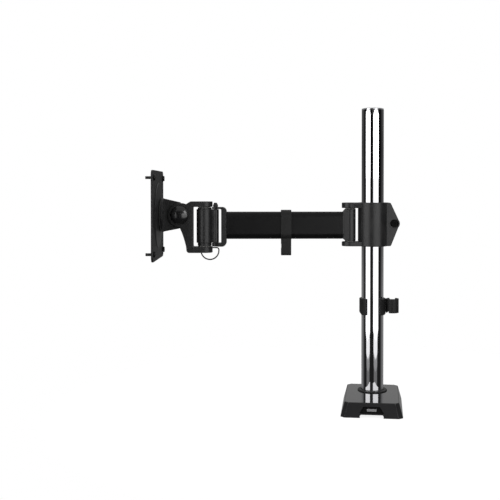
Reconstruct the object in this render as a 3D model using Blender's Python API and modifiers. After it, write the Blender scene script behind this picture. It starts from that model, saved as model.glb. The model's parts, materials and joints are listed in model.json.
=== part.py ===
"""Single monitor arm on a chrome desk pole, modelled piece by piece.

Units are metres, +Z up. The origin is on the pole's axis at the underside of the
base, where the arm meets the desk. The base faces -Y. The swinging arm, with its
collar and head, is drawn along -X in the arm's own frame, and that frame is turned
by ARM_HEADING about the pole. Every moving group hangs on an empty on its joint.
"""
import math

import bmesh
import bpy
from mathutils import Matrix, Vector

MM = 0.001
GAP = 0.3 * MM              # air left between two pieces that touch or run together
MERGE = 0.002 * MM

# Base: a tapered cover over a steel plate, on a thin pad.
BASE_TOP_HALF_X = 35.2 * MM
BASE_TOP_FRONT = -72.3 * MM
BASE_TOP_BACK = 35.3 * MM
BASE_FLARE = 5.05 * MM      # how far the foot stands out beyond the top, all round
BASE_HEIGHT = 19.0 * MM
BASE_CORNER = 5.0 * MM
COVER_WALL = 2.5 * MM
PAD_THICK = 1.0 * MM
PLATE_THICK = 5.0 * MM
PLATE_HALF_X = 35.0 * MM
PLATE_FRONT = -50.0 * MM
PLATE_BACK = 34.5 * MM
PLATE_LOW = PAD_THICK + GAP
PLATE_TOP = PLATE_LOW + PLATE_THICK
COVER_SCREW_SPOTS = [(x * MM, y * MM) for x in (-28.0, 28.0) for y in (-43.0, 28.0)]
CLAMP_HOLE_SPOTS = [(x * MM, y * MM) for x in (-20.0, 20.0) for y in (-30.0, 26.0)]
NOTCH_HALF = 15.2 * MM
NOTCH_HEIGHT = 4.3 * MM
WINDOW_LOW, WINDOW_HIGH = 5.8 * MM, 14.2 * MM
WINDOW_HALF_LOW, WINDOW_HALF_HIGH = 16.0 * MM, 10.8 * MM
INSERT_SIZE = (12.4 * MM, 3.3 * MM)

# Pole.
POLE_R = 15.0 * MM
POLE_WALL = 1.8 * MM
POLE_LOW = PLATE_TOP + GAP
POLE_TOP = 401.6 * MM
POLE_CAP_TOP = 403.4 * MM
FOOT_RING_R = 20.0 * MM

# Cable clip on the pole.
CLIP_R = 17.9 * MM
CLIP_LOW, CLIP_HIGH = 123.0 * MM, 145.0 * MM
CUP_CENTRE = (26.9 * MM, -1.0 * MM)
CUP_R, CUP_INNER_R = 8.7 * MM, 6.7 * MM
CUP_LOW, CUP_HIGH = 125.6 * MM, 144.9 * MM

# Collar on the pole.
ARM_HEADING = math.radians(8.0)
COLLAR_LOW, COLLAR_HIGH = 216.1 * MM, 275.6 * MM
COLLAR_R = 20.0 * MM
COLLAR_BORE_R = 17.0 * MM
LUG_HALF = 11.5 * MM
LOWER_LUG_TOP = 222.4 * MM
UPPER_LUG_LOW = 268.0 * MM
EAR_HALF = 8.0 * MM
PINCH_X, PINCH_Z = 28.7 * MM, 247.0 * MM

# Arm: a hollow oval tube between two castings.
ARM_PIVOT_X = -30.6 * MM
KNUCKLE_R = 7.4 * MM
KNUCKLE_LOW, KNUCKLE_HIGH = LOWER_LUG_TOP + 4 * GAP, UPPER_LUG_LOW - 4 * GAP
TUBE_RIGHT, TUBE_LEFT = -42.0 * MM, -198.7 * MM
TUBE_MID_Z = 244.6 * MM
TUBE_HALF_Y, TUBE_HALF_Z = 9.0 * MM, 18.5 * MM
TUBE_CORNER = 8.0 * MM
TUBE_WALL = 1.8 * MM
PLUG_LENGTH = 28.0 * MM

# Yoke at the arm's far end and the double-barrel link it holds.
LINK_PIVOT_X = -213.9 * MM
HEAD_PIVOT_X = -228.6 * MM
ARM_YOKE_LOW, ARM_YOKE_HIGH = 216.0 * MM, 269.4 * MM
ARM_YOKE_SLOT = (220.8 * MM, 266.8 * MM)
ARM_YOKE_WALL_X = -205.9 * MM
ARM_YOKE_END_X = -199.0 * MM
ARM_LUG_R = 4.9 * MM
LINK_R, LINK_SHOULDER_R, LINK_SMALL_R = 11.0 * MM, 9.4 * MM, 4.5 * MM
LINK_LOW, LINK_HIGH = ARM_YOKE_SLOT[0] + GAP, ARM_YOKE_SLOT[1] - GAP

# Head yoke, tilt block and screen plate.
HEAD_LOW, HEAD_HIGH = 207.7 * MM, 277.0 * MM
HEAD_SLOT = (215.8 * MM, 269.7 * MM)
HEAD_WALL_X = -244.2 * MM
HEAD_HALF_Y = 10.7 * MM
CHEEK_INNER_Y = 6.3 * MM
TILT_X, TILT_Z = -261.4 * MM, 258.6 * MM
CHEEK_R = 16.0 * MM
TONGUE_R = 14.5 * MM
TONGUE_HALF_Y = 5.2 * MM
THROAT_X = -254.3 * MM       # leaves the tongue room to tilt 15 degrees each way
FLANGE_X = -286.5 * MM
FLANGE_R = 22.9 * MM
HUB_R = 43.7 * MM
HUB_FRONT_X = -288.1 * MM
PLATE_FRONT_X = -291.3 * MM
SCREEN_PLATE_THICK = 2.6 * MM
SCREEN_PLATE_HALF = 60.0 * MM
SCREEN_PITCHES = (100.0 * MM, 75.0 * MM)
HUB_SCREW_REACH = 11.3 * MM

# Pins and bolts.
PIN_R = 4.0 * MM
HEAD_PIN_R = 3.5 * MM
LINK_PIN_R = 2.5 * MM
HOLE_CLEAR = 0.3 * MM

# Cable clip on the arm, and the wire loop behind the head yoke.
ARM_CLIP_X = (-125.1 * MM, -111.1 * MM)
ARM_CLIP_WALL = 2.2 * MM
ARM_CLIP_LOW = 204.0 * MM
RING_X, RING_Y, RING_Z = -222.3 * MM, 13.2 * MM, 213.4 * MM
RING_R = 12.2 * MM
RING_WIRE_R = 0.65 * MM
RING_CENTRE_Z = 209.3 * MM
RING_CORNER = 3.0 * MM


# ---------------------------------------------------------------- scene and finishes

def clear_scene():
    """Remove every object of the open scene."""
    for item in list(bpy.data.objects):
        bpy.data.objects.remove(item, do_unlink=True)


def new_collection(name):
    """Add a collection to the scene."""
    group = bpy.data.collections.new(name)
    bpy.context.scene.collection.children.link(group)
    return group


def new_finish(name, colour, roughness, metallic):
    """Make a plain Principled material."""
    finish = bpy.data.materials.new(name)
    finish.use_nodes = True
    shader = finish.node_tree.nodes["Principled BSDF"]
    shader.inputs["Base Color"].default_value = (*colour, 1.0)
    shader.inputs["Roughness"].default_value = roughness
    shader.inputs["Metallic"].default_value = metallic
    return finish


clear_scene()
PARTS = new_collection("monitor_arm")
CUTTERS = new_collection("cutters")
CHROME = new_finish("chrome", (0.80, 0.80, 0.82), 0.06, 1.0)
GLOSS_BLACK = new_finish("gloss_black_plastic", (0.012, 0.012, 0.013), 0.08, 0.0)
CAST_BLACK = new_finish("satin_black_casting", (0.030, 0.030, 0.031), 0.38, 0.0)
TUBE_BLACK = new_finish("satin_black_tube", (0.020, 0.020, 0.021), 0.45, 0.0)
MATT_BLACK = new_finish("matt_black_plastic", (0.018, 0.018, 0.018), 0.55, 0.0)
SHEET_BLACK = new_finish("black_sheet_steel", (0.022, 0.022, 0.023), 0.50, 0.0)
BLACK_OXIDE = new_finish("black_oxide_steel", (0.035, 0.034, 0.033), 0.35, 0.8)
ZINC = new_finish("zinc_steel", (0.55, 0.56, 0.58), 0.30, 1.0)
NYLON = new_finish("grey_nylon", (0.20, 0.20, 0.20), 0.60, 0.0)
RUBBER = new_finish("black_pad_rubber", (0.015, 0.015, 0.015), 0.85, 0.0)
LIGHT_GREY = new_finish("light_grey_insert", (0.45, 0.45, 0.46), 0.35, 0.6)
WIRE_STEEL = new_finish("dark_wire", (0.10, 0.10, 0.10), 0.35, 1.0)


class Pivot:
    """An empty on a joint, which knows its place in the arm's own frame."""

    def __init__(self, name, place, parent=None):
        self.place = Vector(place)
        self.empty = bpy.data.objects.new(name, None)
        PARTS.objects.link(self.empty)
        if parent is None:
            self.empty.location = self.place
        else:
            self.empty.parent = parent.empty
            self.empty.location = self.place - parent.place

    def hold(self, piece):
        """Hang a piece, drawn in the arm's frame, on this pivot."""
        piece.parent = self.empty
        piece.location = -self.place


BASE = Pivot("base_origin", (0, 0, 0))
POLE_CLIP = Pivot("pole_clip_slide", (0, 0, 0), BASE)
HEIGHT = Pivot("arm_height_slide", (0, 0, 0), BASE)
HEIGHT.empty.rotation_euler.z = ARM_HEADING
COLLAR = Pivot("collar_swivel", (0, 0, 0), HEIGHT)
ARM = Pivot("arm_pivot", (ARM_PIVOT_X, 0, TUBE_MID_Z), COLLAR)
ARM_CLIP = Pivot("arm_clip_slide", (ARM_CLIP_X[0], 0, TUBE_MID_Z), ARM)
LINK = Pivot("link_pivot", (LINK_PIVOT_X, 0, TUBE_MID_Z), ARM)
HEAD = Pivot("head_pivot", (HEAD_PIVOT_X, 0, TUBE_MID_Z), LINK)
RING = Pivot("ring_hinge", (RING_X, RING_Y, RING_Z), HEAD)
TILT = Pivot("tilt_axis", (TILT_X, 0, TILT_Z), HEAD)
PLATE = Pivot("plate_axis", (FLANGE_X, 0, TILT_Z), TILT)


# ---------------------------------------------------------------- shapes as bmeshes

def arc(centre, radius, start, end, steps=12):
    """Points along an arc, angles in degrees, both ends included."""
    turns = [math.radians(start + (end - start) * i / steps) for i in range(steps + 1)]
    return [(centre[0] + radius * math.cos(t), centre[1] + radius * math.sin(t)) for t in turns]


def circle(centre, radius, steps=32):
    """Points round a full circle, begun at an angle of its own so that no two holes line up."""
    start = (3.1 * centre[0] + 7.3 * centre[1]) / MM
    return arc(centre, radius, start, start + 360.0, steps)[:-1]


def rounded_rectangle(centre, half_u, half_v, corner, steps=6):
    """Outline of a rectangle with round corners."""
    points = []
    for quarter, (u, v) in enumerate(((1, 1), (-1, 1), (-1, -1), (1, -1))):
        middle = (centre[0] + u * (half_u - corner), centre[1] + v * (half_v - corner))
        points += arc(middle, corner, 90.0 * quarter, 90.0 * (quarter + 1), steps)
    return points


def arc_band(centre, outer, inner, start, end, steps=28):
    """Outline of a ring that runs only from one angle to another."""
    return arc(centre, outer, start, end, steps) + arc(centre, inner, end, start, steps)


def tidy(bm):
    """Merge doubled points and turn every face outwards."""
    bmesh.ops.remove_doubles(bm, verts=bm.verts, dist=MERGE)
    bmesh.ops.recalc_face_normals(bm, faces=bm.faces)
    return bm


def evaluated(helper):
    """Turn a helper object, with its modifiers, into a bmesh and remove the helper."""
    bpy.context.scene.collection.objects.link(helper)
    bpy.context.view_layer.update()
    graph = bpy.context.evaluated_depsgraph_get()
    mesh = bpy.data.meshes.new_from_object(helper.evaluated_get(graph))
    bpy.data.objects.remove(helper, do_unlink=True)
    bm = bmesh.new()
    bm.from_mesh(mesh)
    bpy.data.meshes.remove(mesh)
    return tidy(bm)


def slab(outlines, low, high, plane="XY"):
    """Extrude flat outlines across a plane; the ones inside the first are holes."""
    curve = bpy.data.curves.new("outline", "CURVE")
    curve.dimensions = "2D"
    curve.fill_mode = "BOTH"
    curve.extrude = (high - low) / 2
    for outline in outlines:
        spline = curve.splines.new("POLY")
        spline.points.add(len(outline) - 1)
        for point, (u, v) in zip(spline.points, outline):
            point.co = (u, v, 0.0, 1.0)
        spline.use_cyclic_u = True
    bm = evaluated(bpy.data.objects.new("outline", curve))
    middle = (high + low) / 2
    for vert in bm.verts:
        u, v, w = vert.co.x, vert.co.y, vert.co.z + middle
        vert.co = {"XY": (u, v, w), "XZ": (u, w, v), "YZ": (w, u, v)}[plane]
    return tidy(bm)


def turned(profile, origin=(0, 0, 0), axis="Z", steps=32):
    """Spin a profile of (radius, height) pairs, which runs down its outer side."""
    mesh = bpy.data.meshes.new("profile")
    edges = [(i, i + 1) for i in range(len(profile) - 1)]
    if profile[0][0] > 0:
        edges.append((len(profile) - 1, 0))
    mesh.from_pydata([(r, 0.0, h) for r, h in profile], edges, [])
    helper = bpy.data.objects.new("profile", mesh)
    screw = helper.modifiers.new("turn", "SCREW")
    screw.steps = screw.render_steps = steps
    screw.use_merge_vertices = True
    screw.merge_threshold = MERGE
    bm = evaluated(helper)
    turn = {"Z": Matrix(), "X": Matrix.Rotation(math.pi / 2, 4, "Y"),
            "Y": Matrix.Rotation(-math.pi / 2, 4, "X")}[axis]
    bm.transform(Matrix.Translation(origin) @ turn)
    return bm


def rod(radius, low, high, origin=(0, 0, 0), axis="Z", steps=20):
    """A plain cylinder from low to high along its axis."""
    bm = bmesh.new()
    bmesh.ops.create_cone(bm, cap_ends=True, segments=steps, radius1=radius, radius2=radius,
                          depth=high - low, matrix=Matrix.Translation((0, 0, (low + high) / 2)))
    turn = {"Z": Matrix(), "X": Matrix.Rotation(math.pi / 2, 4, "Y"),
            "Y": Matrix.Rotation(-math.pi / 2, 4, "X")}[axis]
    bm.transform(Matrix.Translation(origin) @ turn)
    return bm


def block(low, high):
    """A box between two corners."""
    low, high = Vector(low), Vector(high)
    bm = bmesh.new()
    bmesh.ops.create_cube(bm, size=1.0)
    bm.transform(Matrix.Translation((low + high) / 2) @ Matrix.Diagonal((*(high - low), 1.0)))
    return bm


def washer(outer, inner, low, high, origin=(0, 0, 0), axis="Z", steps=20):
    """A flat ring."""
    return turned([(outer, high), (outer, low), (inner, low), (inner, high)], origin, axis, steps)


def screw_shape(head_r, head_low, head_high, shank_r, tip, origin=(0, 0, 0), axis="Z"):
    """A cap screw whose head lies from head_low to head_high and whose shank ends at tip."""
    if tip > head_high:
        profile = [(0, tip), (shank_r, tip), (shank_r, head_high), (head_r, head_high),
                   (head_r, head_low), (0, head_low)]
    else:
        profile = [(0, head_high), (head_r, head_high), (head_r, head_low),
                   (shank_r, head_low), (shank_r, tip), (0, tip)]
    return turned(profile, origin, axis, 12)


def together(shapes):
    """Gather separate shapes into one bmesh."""
    whole = bmesh.new()
    for shape in shapes:
        mesh = bpy.data.meshes.new("shape")
        shape.to_mesh(mesh)
        shape.free()
        whole.from_mesh(mesh)
        bpy.data.meshes.remove(mesh)
    return whole


# ---------------------------------------------------------------- pieces

def make(name, bm, finish, pivot):
    """Turn a bmesh into a named piece on its pivot."""
    mesh = bpy.data.meshes.new(name)
    bm.to_mesh(mesh)
    bm.free()
    mesh.shade_smooth()
    mesh.set_sharp_from_angle(angle=math.radians(35.0))
    mesh.materials.append(finish)
    piece = bpy.data.objects.new(name, mesh)
    PARTS.objects.link(piece)
    pivot.hold(piece)
    return piece


def make_each(name, shapes, finish, pivot):
    """Turn each of several like shapes into its own numbered piece."""
    for number, shape in enumerate(shapes, start=1):
        make(f"{name}_{number}", shape, finish, pivot)


def boolean(piece, bm, operation):
    """Cut, join or intersect a piece with a helper shape in the same frame."""
    mesh = bpy.data.meshes.new(piece.name + "_tool")
    bm.to_mesh(mesh)
    bm.free()
    tool = bpy.data.objects.new(mesh.name, mesh)
    CUTTERS.objects.link(tool)
    tool.parent = piece.parent
    tool.location = piece.location
    tool.hide_render = True
    tool.display_type = "WIRE"
    modifier = piece.modifiers.new(operation.lower(), "BOOLEAN")
    modifier.operation = operation
    modifier.object = tool


def cut(piece, *shapes):
    """Take each shape out of a piece."""
    for shape in shapes:
        boolean(piece, shape, "DIFFERENCE")


def join(piece, *shapes):
    """Grow a piece by each shape."""
    for shape in shapes:
        boolean(piece, shape, "UNION")


def keep_inside(piece, shape):
    """Keep only what lies inside a shape."""
    boolean(piece, shape, "INTERSECT")


# ---------------------------------------------------------------- base

def slope_frame():
    """Frame on the cover's front skirt: X across, Y up the slope, Z out of it."""
    lean = math.atan2(BASE_HEIGHT, BASE_FLARE)
    foot = Matrix.Translation((0, BASE_TOP_FRONT - BASE_FLARE, 0))
    return foot @ Matrix.Rotation(lean, 4, "X")


def base_cover():
    """Tapered shell with chamfered corners, a front window and a cable notch."""
    bm = bmesh.new()
    bmesh.ops.create_cube(bm, size=1.0)
    for vert in bm.verts:
        flare = BASE_FLARE if vert.co.z < 0 else 0.0
        side_y = BASE_TOP_BACK + flare if vert.co.y > 0 else BASE_TOP_FRONT - flare
        side_x = math.copysign(BASE_TOP_HALF_X + flare, vert.co.x)
        vert.co = (side_x, side_y, GAP if vert.co.z < 0 else BASE_HEIGHT)
    upright = [e for e in bm.edges if abs(e.verts[0].co.z - e.verts[1].co.z) > GAP]
    bmesh.ops.bevel(bm, geom=upright, offset=BASE_CORNER, segments=2, profile=0.5, affect="EDGES")
    rim = [e for e in bm.edges if all(abs(v.co.z - BASE_HEIGHT) < MERGE for v in e.verts)]
    bmesh.ops.bevel(bm, geom=rim, offset=1.0 * MM, segments=2, profile=0.5, affect="EDGES")
    floor = [f for f in bm.faces if all(abs(v.co.z - GAP) < MERGE for v in f.verts)]
    bmesh.ops.delete(bm, geom=floor, context="FACES")
    cover = make("base_cover", tidy(bm), GLOSS_BLACK, BASE)
    shell = cover.modifiers.new("wall", "SOLIDIFY")
    shell.thickness = COVER_WALL
    shell.offset = -1.0
    shell.use_even_offset = True
    ceiling = BASE_HEIGHT - COVER_WALL / 2
    bosses = [rod(3.6 * MM, PLATE_TOP + GAP, ceiling, (x, y, 0), steps=12) for x, y in COVER_SCREW_SPOTS]
    join(cover, together(bosses))
    pilots = [rod(1.7 * MM, PLATE_LOW, 13.0 * MM, (x, y, 0), steps=10) for x, y in COVER_SCREW_SPOTS]
    window = [(-WINDOW_HALF_LOW, WINDOW_LOW), (WINDOW_HALF_LOW, WINDOW_LOW),
              (WINDOW_HALF_HIGH, WINDOW_HIGH), (-WINDOW_HALF_HIGH, WINDOW_HIGH)]
    chamfer = 1.4 * MM
    notch = [(-NOTCH_HALF, -chamfer), (NOTCH_HALF, -chamfer), (NOTCH_HALF, NOTCH_HEIGHT - chamfer),
             (NOTCH_HALF - chamfer, NOTCH_HEIGHT), (chamfer - NOTCH_HALF, NOTCH_HEIGHT),
             (-NOTCH_HALF, NOTCH_HEIGHT - chamfer)]
    front = (BASE_TOP_FRONT - 2 * BASE_FLARE, BASE_TOP_FRONT + BASE_FLARE)
    reach = 2 * BASE_TOP_FRONT
    trim = block((reach, reach, -COVER_WALL), (-reach, -reach, GAP + 0.1 * MM))
    cut(cover, together(pilots),
        rod(POLE_R + 0.5 * MM, PLATE_LOW, BASE_HEIGHT + COVER_WALL, steps=40), trim,
        slab([window], *front, plane="XZ"), slab([notch], *front, plane="XZ"))


def base_inside():
    """Pad, steel plate, pole socket and the screws that hold the base together."""
    pad = rounded_rectangle((0, (PLATE_FRONT + PLATE_BACK) / 2), PLATE_HALF_X,
                            (PLATE_BACK - PLATE_FRONT) / 2, 4 * MM)
    pad_holes = [circle(spot, 3.5 * MM, 10) for spot in CLAMP_HOLE_SPOTS + COVER_SCREW_SPOTS]
    make("desk_pad", slab([pad] + pad_holes, 0.0, PAD_THICK), RUBBER, BASE)

    plate_holes = [circle(spot, 2.5 * MM, 10) for spot in CLAMP_HOLE_SPOTS]
    plate_holes += [circle(spot, 1.7 * MM, 12) for spot in COVER_SCREW_SPOTS]
    plate = make("base_plate", slab([pad] + plate_holes, PLATE_LOW, PLATE_TOP), SHEET_BLACK, BASE)
    counterbores = [rod(3.2 * MM, 0.0, PLATE_LOW + 2.4 * MM, (x, y, 0), steps=16)
                    for x, y in COVER_SCREW_SPOTS]
    sunk = turned([(0, PLATE_TOP + MM), (4.3 * MM, PLATE_TOP + MM), (4.3 * MM, PLATE_LOW + 3.9 * MM),
                   (8.2 * MM, PLATE_LOW), (8.2 * MM, 0), (0, 0)], steps=24)
    cut(plate, together(counterbores), sunk)

    screws = [screw_shape(2.8 * MM, PLATE_LOW + 0.2 * MM, PLATE_LOW + 2.0 * MM, 1.3 * MM, 12 * MM,
                          (x, y, 0)) for x, y in COVER_SCREW_SPOTS]
    make_each("cover_screw", screws, ZINC, BASE)

    bolt = turned([(0, 22 * MM), (4 * MM, 22 * MM), (4 * MM, PLATE_LOW + 3.7 * MM),
                   (7.6 * MM, PLATE_LOW + 0.2 * MM), (0, PLATE_LOW + 0.2 * MM)], steps=20)
    pole_bolt = make("pole_bolt", bolt, BLACK_OXIDE, BASE)
    cut(pole_bolt, rod(2.9 * MM, 0.0, PLATE_LOW + 2.6 * MM, steps=6))

    socket = washer(19 * MM, POLE_R + GAP, POLE_LOW, BASE_HEIGHT - COVER_WALL - GAP, steps=32)
    make("pole_socket", socket, SHEET_BLACK, BASE)


def front_trim():
    """Dark panel behind the front window, and the blank light insert on it."""
    behind = -(COVER_WALL + GAP)
    lap = 1.6 * MM
    outline = [(-WINDOW_HALF_LOW - lap, WINDOW_LOW), (WINDOW_HALF_LOW + lap, WINDOW_LOW),
               (WINDOW_HALF_HIGH + lap, WINDOW_HIGH + lap), (-WINDOW_HALF_HIGH - lap, WINDOW_HIGH + lap)]
    panel = slab([outline], behind - 2 * MM, behind)
    panel.transform(slope_frame())
    make("front_panel", panel, MATT_BLACK, BASE)

    insert = slab([rounded_rectangle((0, 10.4 * MM), INSERT_SIZE[0] / 2, INSERT_SIZE[1] / 2, 0.8 * MM)],
                  behind + GAP, behind + GAP + 0.9 * MM)
    insert.transform(slope_frame())
    make("front_insert", insert, LIGHT_GREY, BASE)


# ---------------------------------------------------------------- pole

def pole_group():
    """Tube, bottom plug, top cap and the ring that trims its foot."""
    bore = POLE_R - POLE_WALL
    tube = [circle((0, 0), POLE_R, 48), circle((0, 0), bore, 32)]
    make("pole", slab(tube, POLE_LOW, POLE_TOP), CHROME, BASE)

    plug = make("pole_end_plug", rod(bore - GAP, POLE_LOW + GAP, 26 * MM, steps=32), ZINC, BASE)
    cut(plug, rod(PIN_R + HOLE_CLEAR, 0.0, 24 * MM))

    lip = POLE_TOP + GAP
    cap = [(0, POLE_CAP_TOP)] + [(r, h) for r, h in
                                 reversed(arc((POLE_R - 1.4 * MM, lip + 0.1 * MM), 1.4 * MM, 0, 90, 2))]
    cap += [(POLE_R, lip), (bore - GAP, lip), (bore - GAP, POLE_TOP - 9 * MM), (0, POLE_TOP - 9 * MM)]
    make("pole_top_cap", turned(cap, steps=40), CHROME, BASE)

    low = BASE_HEIGHT + GAP
    ring = [(FOOT_RING_R - 0.8 * MM, low + 1.2 * MM), (FOOT_RING_R, low + 0.5 * MM), (FOOT_RING_R, low),
            (POLE_R + 0.4 * MM, low), (POLE_R + 0.4 * MM, low + 1.2 * MM)]
    make("foot_ring", turned(ring, steps=40), MATT_BLACK, BASE)


def pole_cable_clip():
    """Spring clip that grips the pole from behind, with an open cable cup beside it."""
    grip = arc_band((0, 0), CLIP_R, POLE_R + GAP, -53.0, 239.6, 28)
    clip = make("pole_cable_clip", slab([grip], CLIP_LOW, CLIP_HIGH), MATT_BLACK, POLE_CLIP)
    neck = block((CLIP_R - 1.4 * MM, -3.2 * MM, CUP_LOW + 1.2 * MM),
                 (CUP_CENTRE[0] - CUP_INNER_R - 0.5 * MM, 2.6 * MM, CUP_HIGH - 0.6 * MM))
    cup = arc_band(CUP_CENTRE, CUP_R, CUP_INNER_R, 122.0, 418.0, 20)
    join(clip, neck, slab([cup], CUP_LOW, CUP_HIGH))
    left = [(-20 * MM, 121 * MM), (-12.6 * MM, 121 * MM), (-20 * MM, 129 * MM)]
    right = [(14 * MM, 121 * MM), (22 * MM, 121 * MM), (22 * MM, 128.2 * MM)]
    across = (-20 * MM, 20 * MM)
    cut(clip, slab([left], *across, plane="XZ"), slab([right], *across, plane="XZ"))


# ---------------------------------------------------------------- collar

def collar():
    """Split cast collar with two lugs for the arm and two pinched ears."""
    ring = slab([circle((0, 0), COLLAR_R, 48)], COLLAR_LOW, COLLAR_HIGH)
    piece = make("collar", ring, CAST_BLACK, COLLAR)
    lug = arc((ARM_PIVOT_X, 0), LUG_HALF, 90, 270, 12) + [(-6 * MM, -LUG_HALF), (-6 * MM, LUG_HALF)]
    lip = 0.2 * MM
    ears = [(14 * MM, COLLAR_LOW + lip), (23.6 * MM, COLLAR_LOW + lip), (24.9 * MM, COLLAR_LOW + 1.6 * MM),
            (36.0 * MM, 245.4 * MM), (36.0 * MM, 249.2 * MM), (24.2 * MM, COLLAR_HIGH - 2.4 * MM),
            (22.3 * MM, COLLAR_HIGH - lip), (14 * MM, COLLAR_HIGH - lip)]
    join(piece, slab([lug], COLLAR_LOW + lip, LOWER_LUG_TOP), slab([lug], UPPER_LUG_LOW, COLLAR_HIGH - lip),
         slab([ears], -EAR_HALF, EAR_HALF, plane="XZ"))
    pin = (ARM_PIVOT_X, 0, 0)
    pinch = (PINCH_X, 0, PINCH_Z)
    cut(piece, rod(COLLAR_BORE_R, COLLAR_LOW - MM, COLLAR_HIGH + MM, steps=36),
        block((12 * MM, -1.0 * MM, COLLAR_LOW - MM), (40 * MM, 1.0 * MM, COLLAR_HIGH + MM)),
        rod(PIN_R + HOLE_CLEAR, COLLAR_LOW - MM, COLLAR_HIGH + MM, pin),
        together([rod(6.9 * MM, COLLAR_LOW - MM, COLLAR_LOW + 3.4 * MM, pin),
                  rod(6.9 * MM, COLLAR_HIGH - 3.4 * MM, COLLAR_HIGH + MM, pin)]),
        rod(3.3 * MM, -12 * MM, 12 * MM, pinch, "Y", 12),
        together([rod(6.0 * MM, -12 * MM, -4.0 * MM, pinch, "Y"),
                  rod(5.8 * MM, 5.0 * MM, 12 * MM, pinch, "Y", 6)]))
    make("collar_bush", washer(COLLAR_BORE_R - GAP, POLE_R + GAP, COLLAR_LOW + MM, COLLAR_HIGH - MM,
                                steps=36),
         NYLON, HEIGHT)


def collar_fasteners():
    """Pinch bolt and nut, and the vertical pin that carries the arm."""
    pinch = (PINCH_X, 0, PINCH_Z)
    bolt = make("pinch_bolt", screw_shape(5.0 * MM, -7.4 * MM, -4.3 * MM, 3.0 * MM, 10.5 * MM, pinch, "Y"),
                BLACK_OXIDE, COLLAR)
    cut(bolt, rod(2.5 * MM, -9 * MM, -5.4 * MM, pinch, "Y", 6))
    nut = make("pinch_nut", rod(5.4 * MM, 5.3 * MM, 9.6 * MM, pinch, "Y", 6), BLACK_OXIDE, COLLAR)
    cut(nut, rod(3.3 * MM, 4 * MM, 11 * MM, pinch, "Y", 12))

    pin = (ARM_PIVOT_X, 0, 0)
    make("arm_pivot_pin", screw_shape(6.5 * MM, COLLAR_LOW + 0.3 * MM, COLLAR_LOW + 3.1 * MM, PIN_R,
                                      COLLAR_HIGH - 1.2 * MM, pin), BLACK_OXIDE, COLLAR)
    nut = make("arm_pivot_nut", rod(6.5 * MM, COLLAR_HIGH - 3.1 * MM, COLLAR_HIGH - 0.4 * MM, pin),
               BLACK_OXIDE, COLLAR)
    cut(nut, rod(PIN_R + HOLE_CLEAR, COLLAR_HIGH - 5 * MM, COLLAR_HIGH + MM, pin))
    rings = [washer(7.2 * MM, PIN_R + HOLE_CLEAR, LOWER_LUG_TOP + GAP, KNUCKLE_LOW - GAP, pin),
             washer(7.2 * MM, PIN_R + HOLE_CLEAR, KNUCKLE_HIGH + GAP, UPPER_LUG_LOW - GAP, pin)]
    make_each("arm_pivot_washer", rings, NYLON, COLLAR)


# ---------------------------------------------------------------- arm

def tube_outline(shrink=0.0):
    """Oval section of the tube, drawn smaller by shrink."""
    corner = max(TUBE_CORNER - shrink, 1.0 * MM)
    return rounded_rectangle((0, TUBE_MID_Z), TUBE_HALF_Y - shrink, TUBE_HALF_Z - shrink, corner)


def fitting_screw_spots():
    """Where the tube is screwed to its end castings: (x, z) on the rear side."""
    return [(x, TUBE_MID_Z) for x in (TUBE_RIGHT - 15 * MM, TUBE_LEFT + 13 * MM)]


def arm_group():
    """Hollow tube, knuckle at the collar, yoke at the far end and their screws."""
    tube = make("arm_tube", slab([tube_outline(), tube_outline(TUBE_WALL)], TUBE_LEFT, TUBE_RIGHT, "YZ"),
                TUBE_BLACK, ARM)
    spots = fitting_screw_spots()
    holes = [rod(1.9 * MM, 0, 12 * MM, (x, 0, z), "Y", 12) for x, z in spots]
    sinks = [rod(3.1 * MM, TUBE_HALF_Y - 0.9 * MM, 12 * MM, (x, 0, z), "Y", 14) for x, z in spots]
    cut(tube, together(holes), together(sinks))
    screws = [screw_shape(2.8 * MM, TUBE_HALF_Y - 0.6 * MM, TUBE_HALF_Y + 0.6 * MM, 1.5 * MM, 2.0 * MM,
                          (x, 0, z), "Y") for x, z in spots]
    make_each("arm_fitting_screw", screws, BLACK_OXIDE, ARM)

    pin = (ARM_PIVOT_X, 0, 0)
    knuckle = make("arm_root_fitting", rod(KNUCKLE_R, KNUCKLE_LOW, KNUCKLE_HIGH, pin, steps=28),
                   CAST_BLACK, ARM)
    low, high = KNUCKLE_LOW + 0.2 * MM, KNUCKLE_HIGH - 0.2 * MM
    bottom, top = TUBE_MID_Z - TUBE_HALF_Z + 0.4 * MM, TUBE_MID_Z + TUBE_HALF_Z - 0.4 * MM
    flare = [(ARM_PIVOT_X, low), (ARM_PIVOT_X, high), (-37.6 * MM, high), (-41.0 * MM, top),
             (-41.4 * MM, top), (-41.4 * MM, bottom), (-41.0 * MM, bottom), (-37.6 * MM, low)]
    inside = TUBE_WALL + GAP
    join(knuckle, slab([flare], -6.6 * MM, 6.6 * MM, "XZ"),
         slab([tube_outline()], TUBE_RIGHT + GAP, -40.2 * MM, "YZ"),
         slab([tube_outline(inside)], TUBE_RIGHT - PLUG_LENGTH, -41.0 * MM, "YZ"))
    near, far = [rod(1.8 * MM, 0, 12 * MM, (x, 0, z), "Y", 12) for x, z in spots]
    cut(knuckle, rod(PIN_R + HOLE_CLEAR, KNUCKLE_LOW - MM, KNUCKLE_HIGH + MM, pin), near)
    arm_end_yoke(inside, far)


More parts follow.
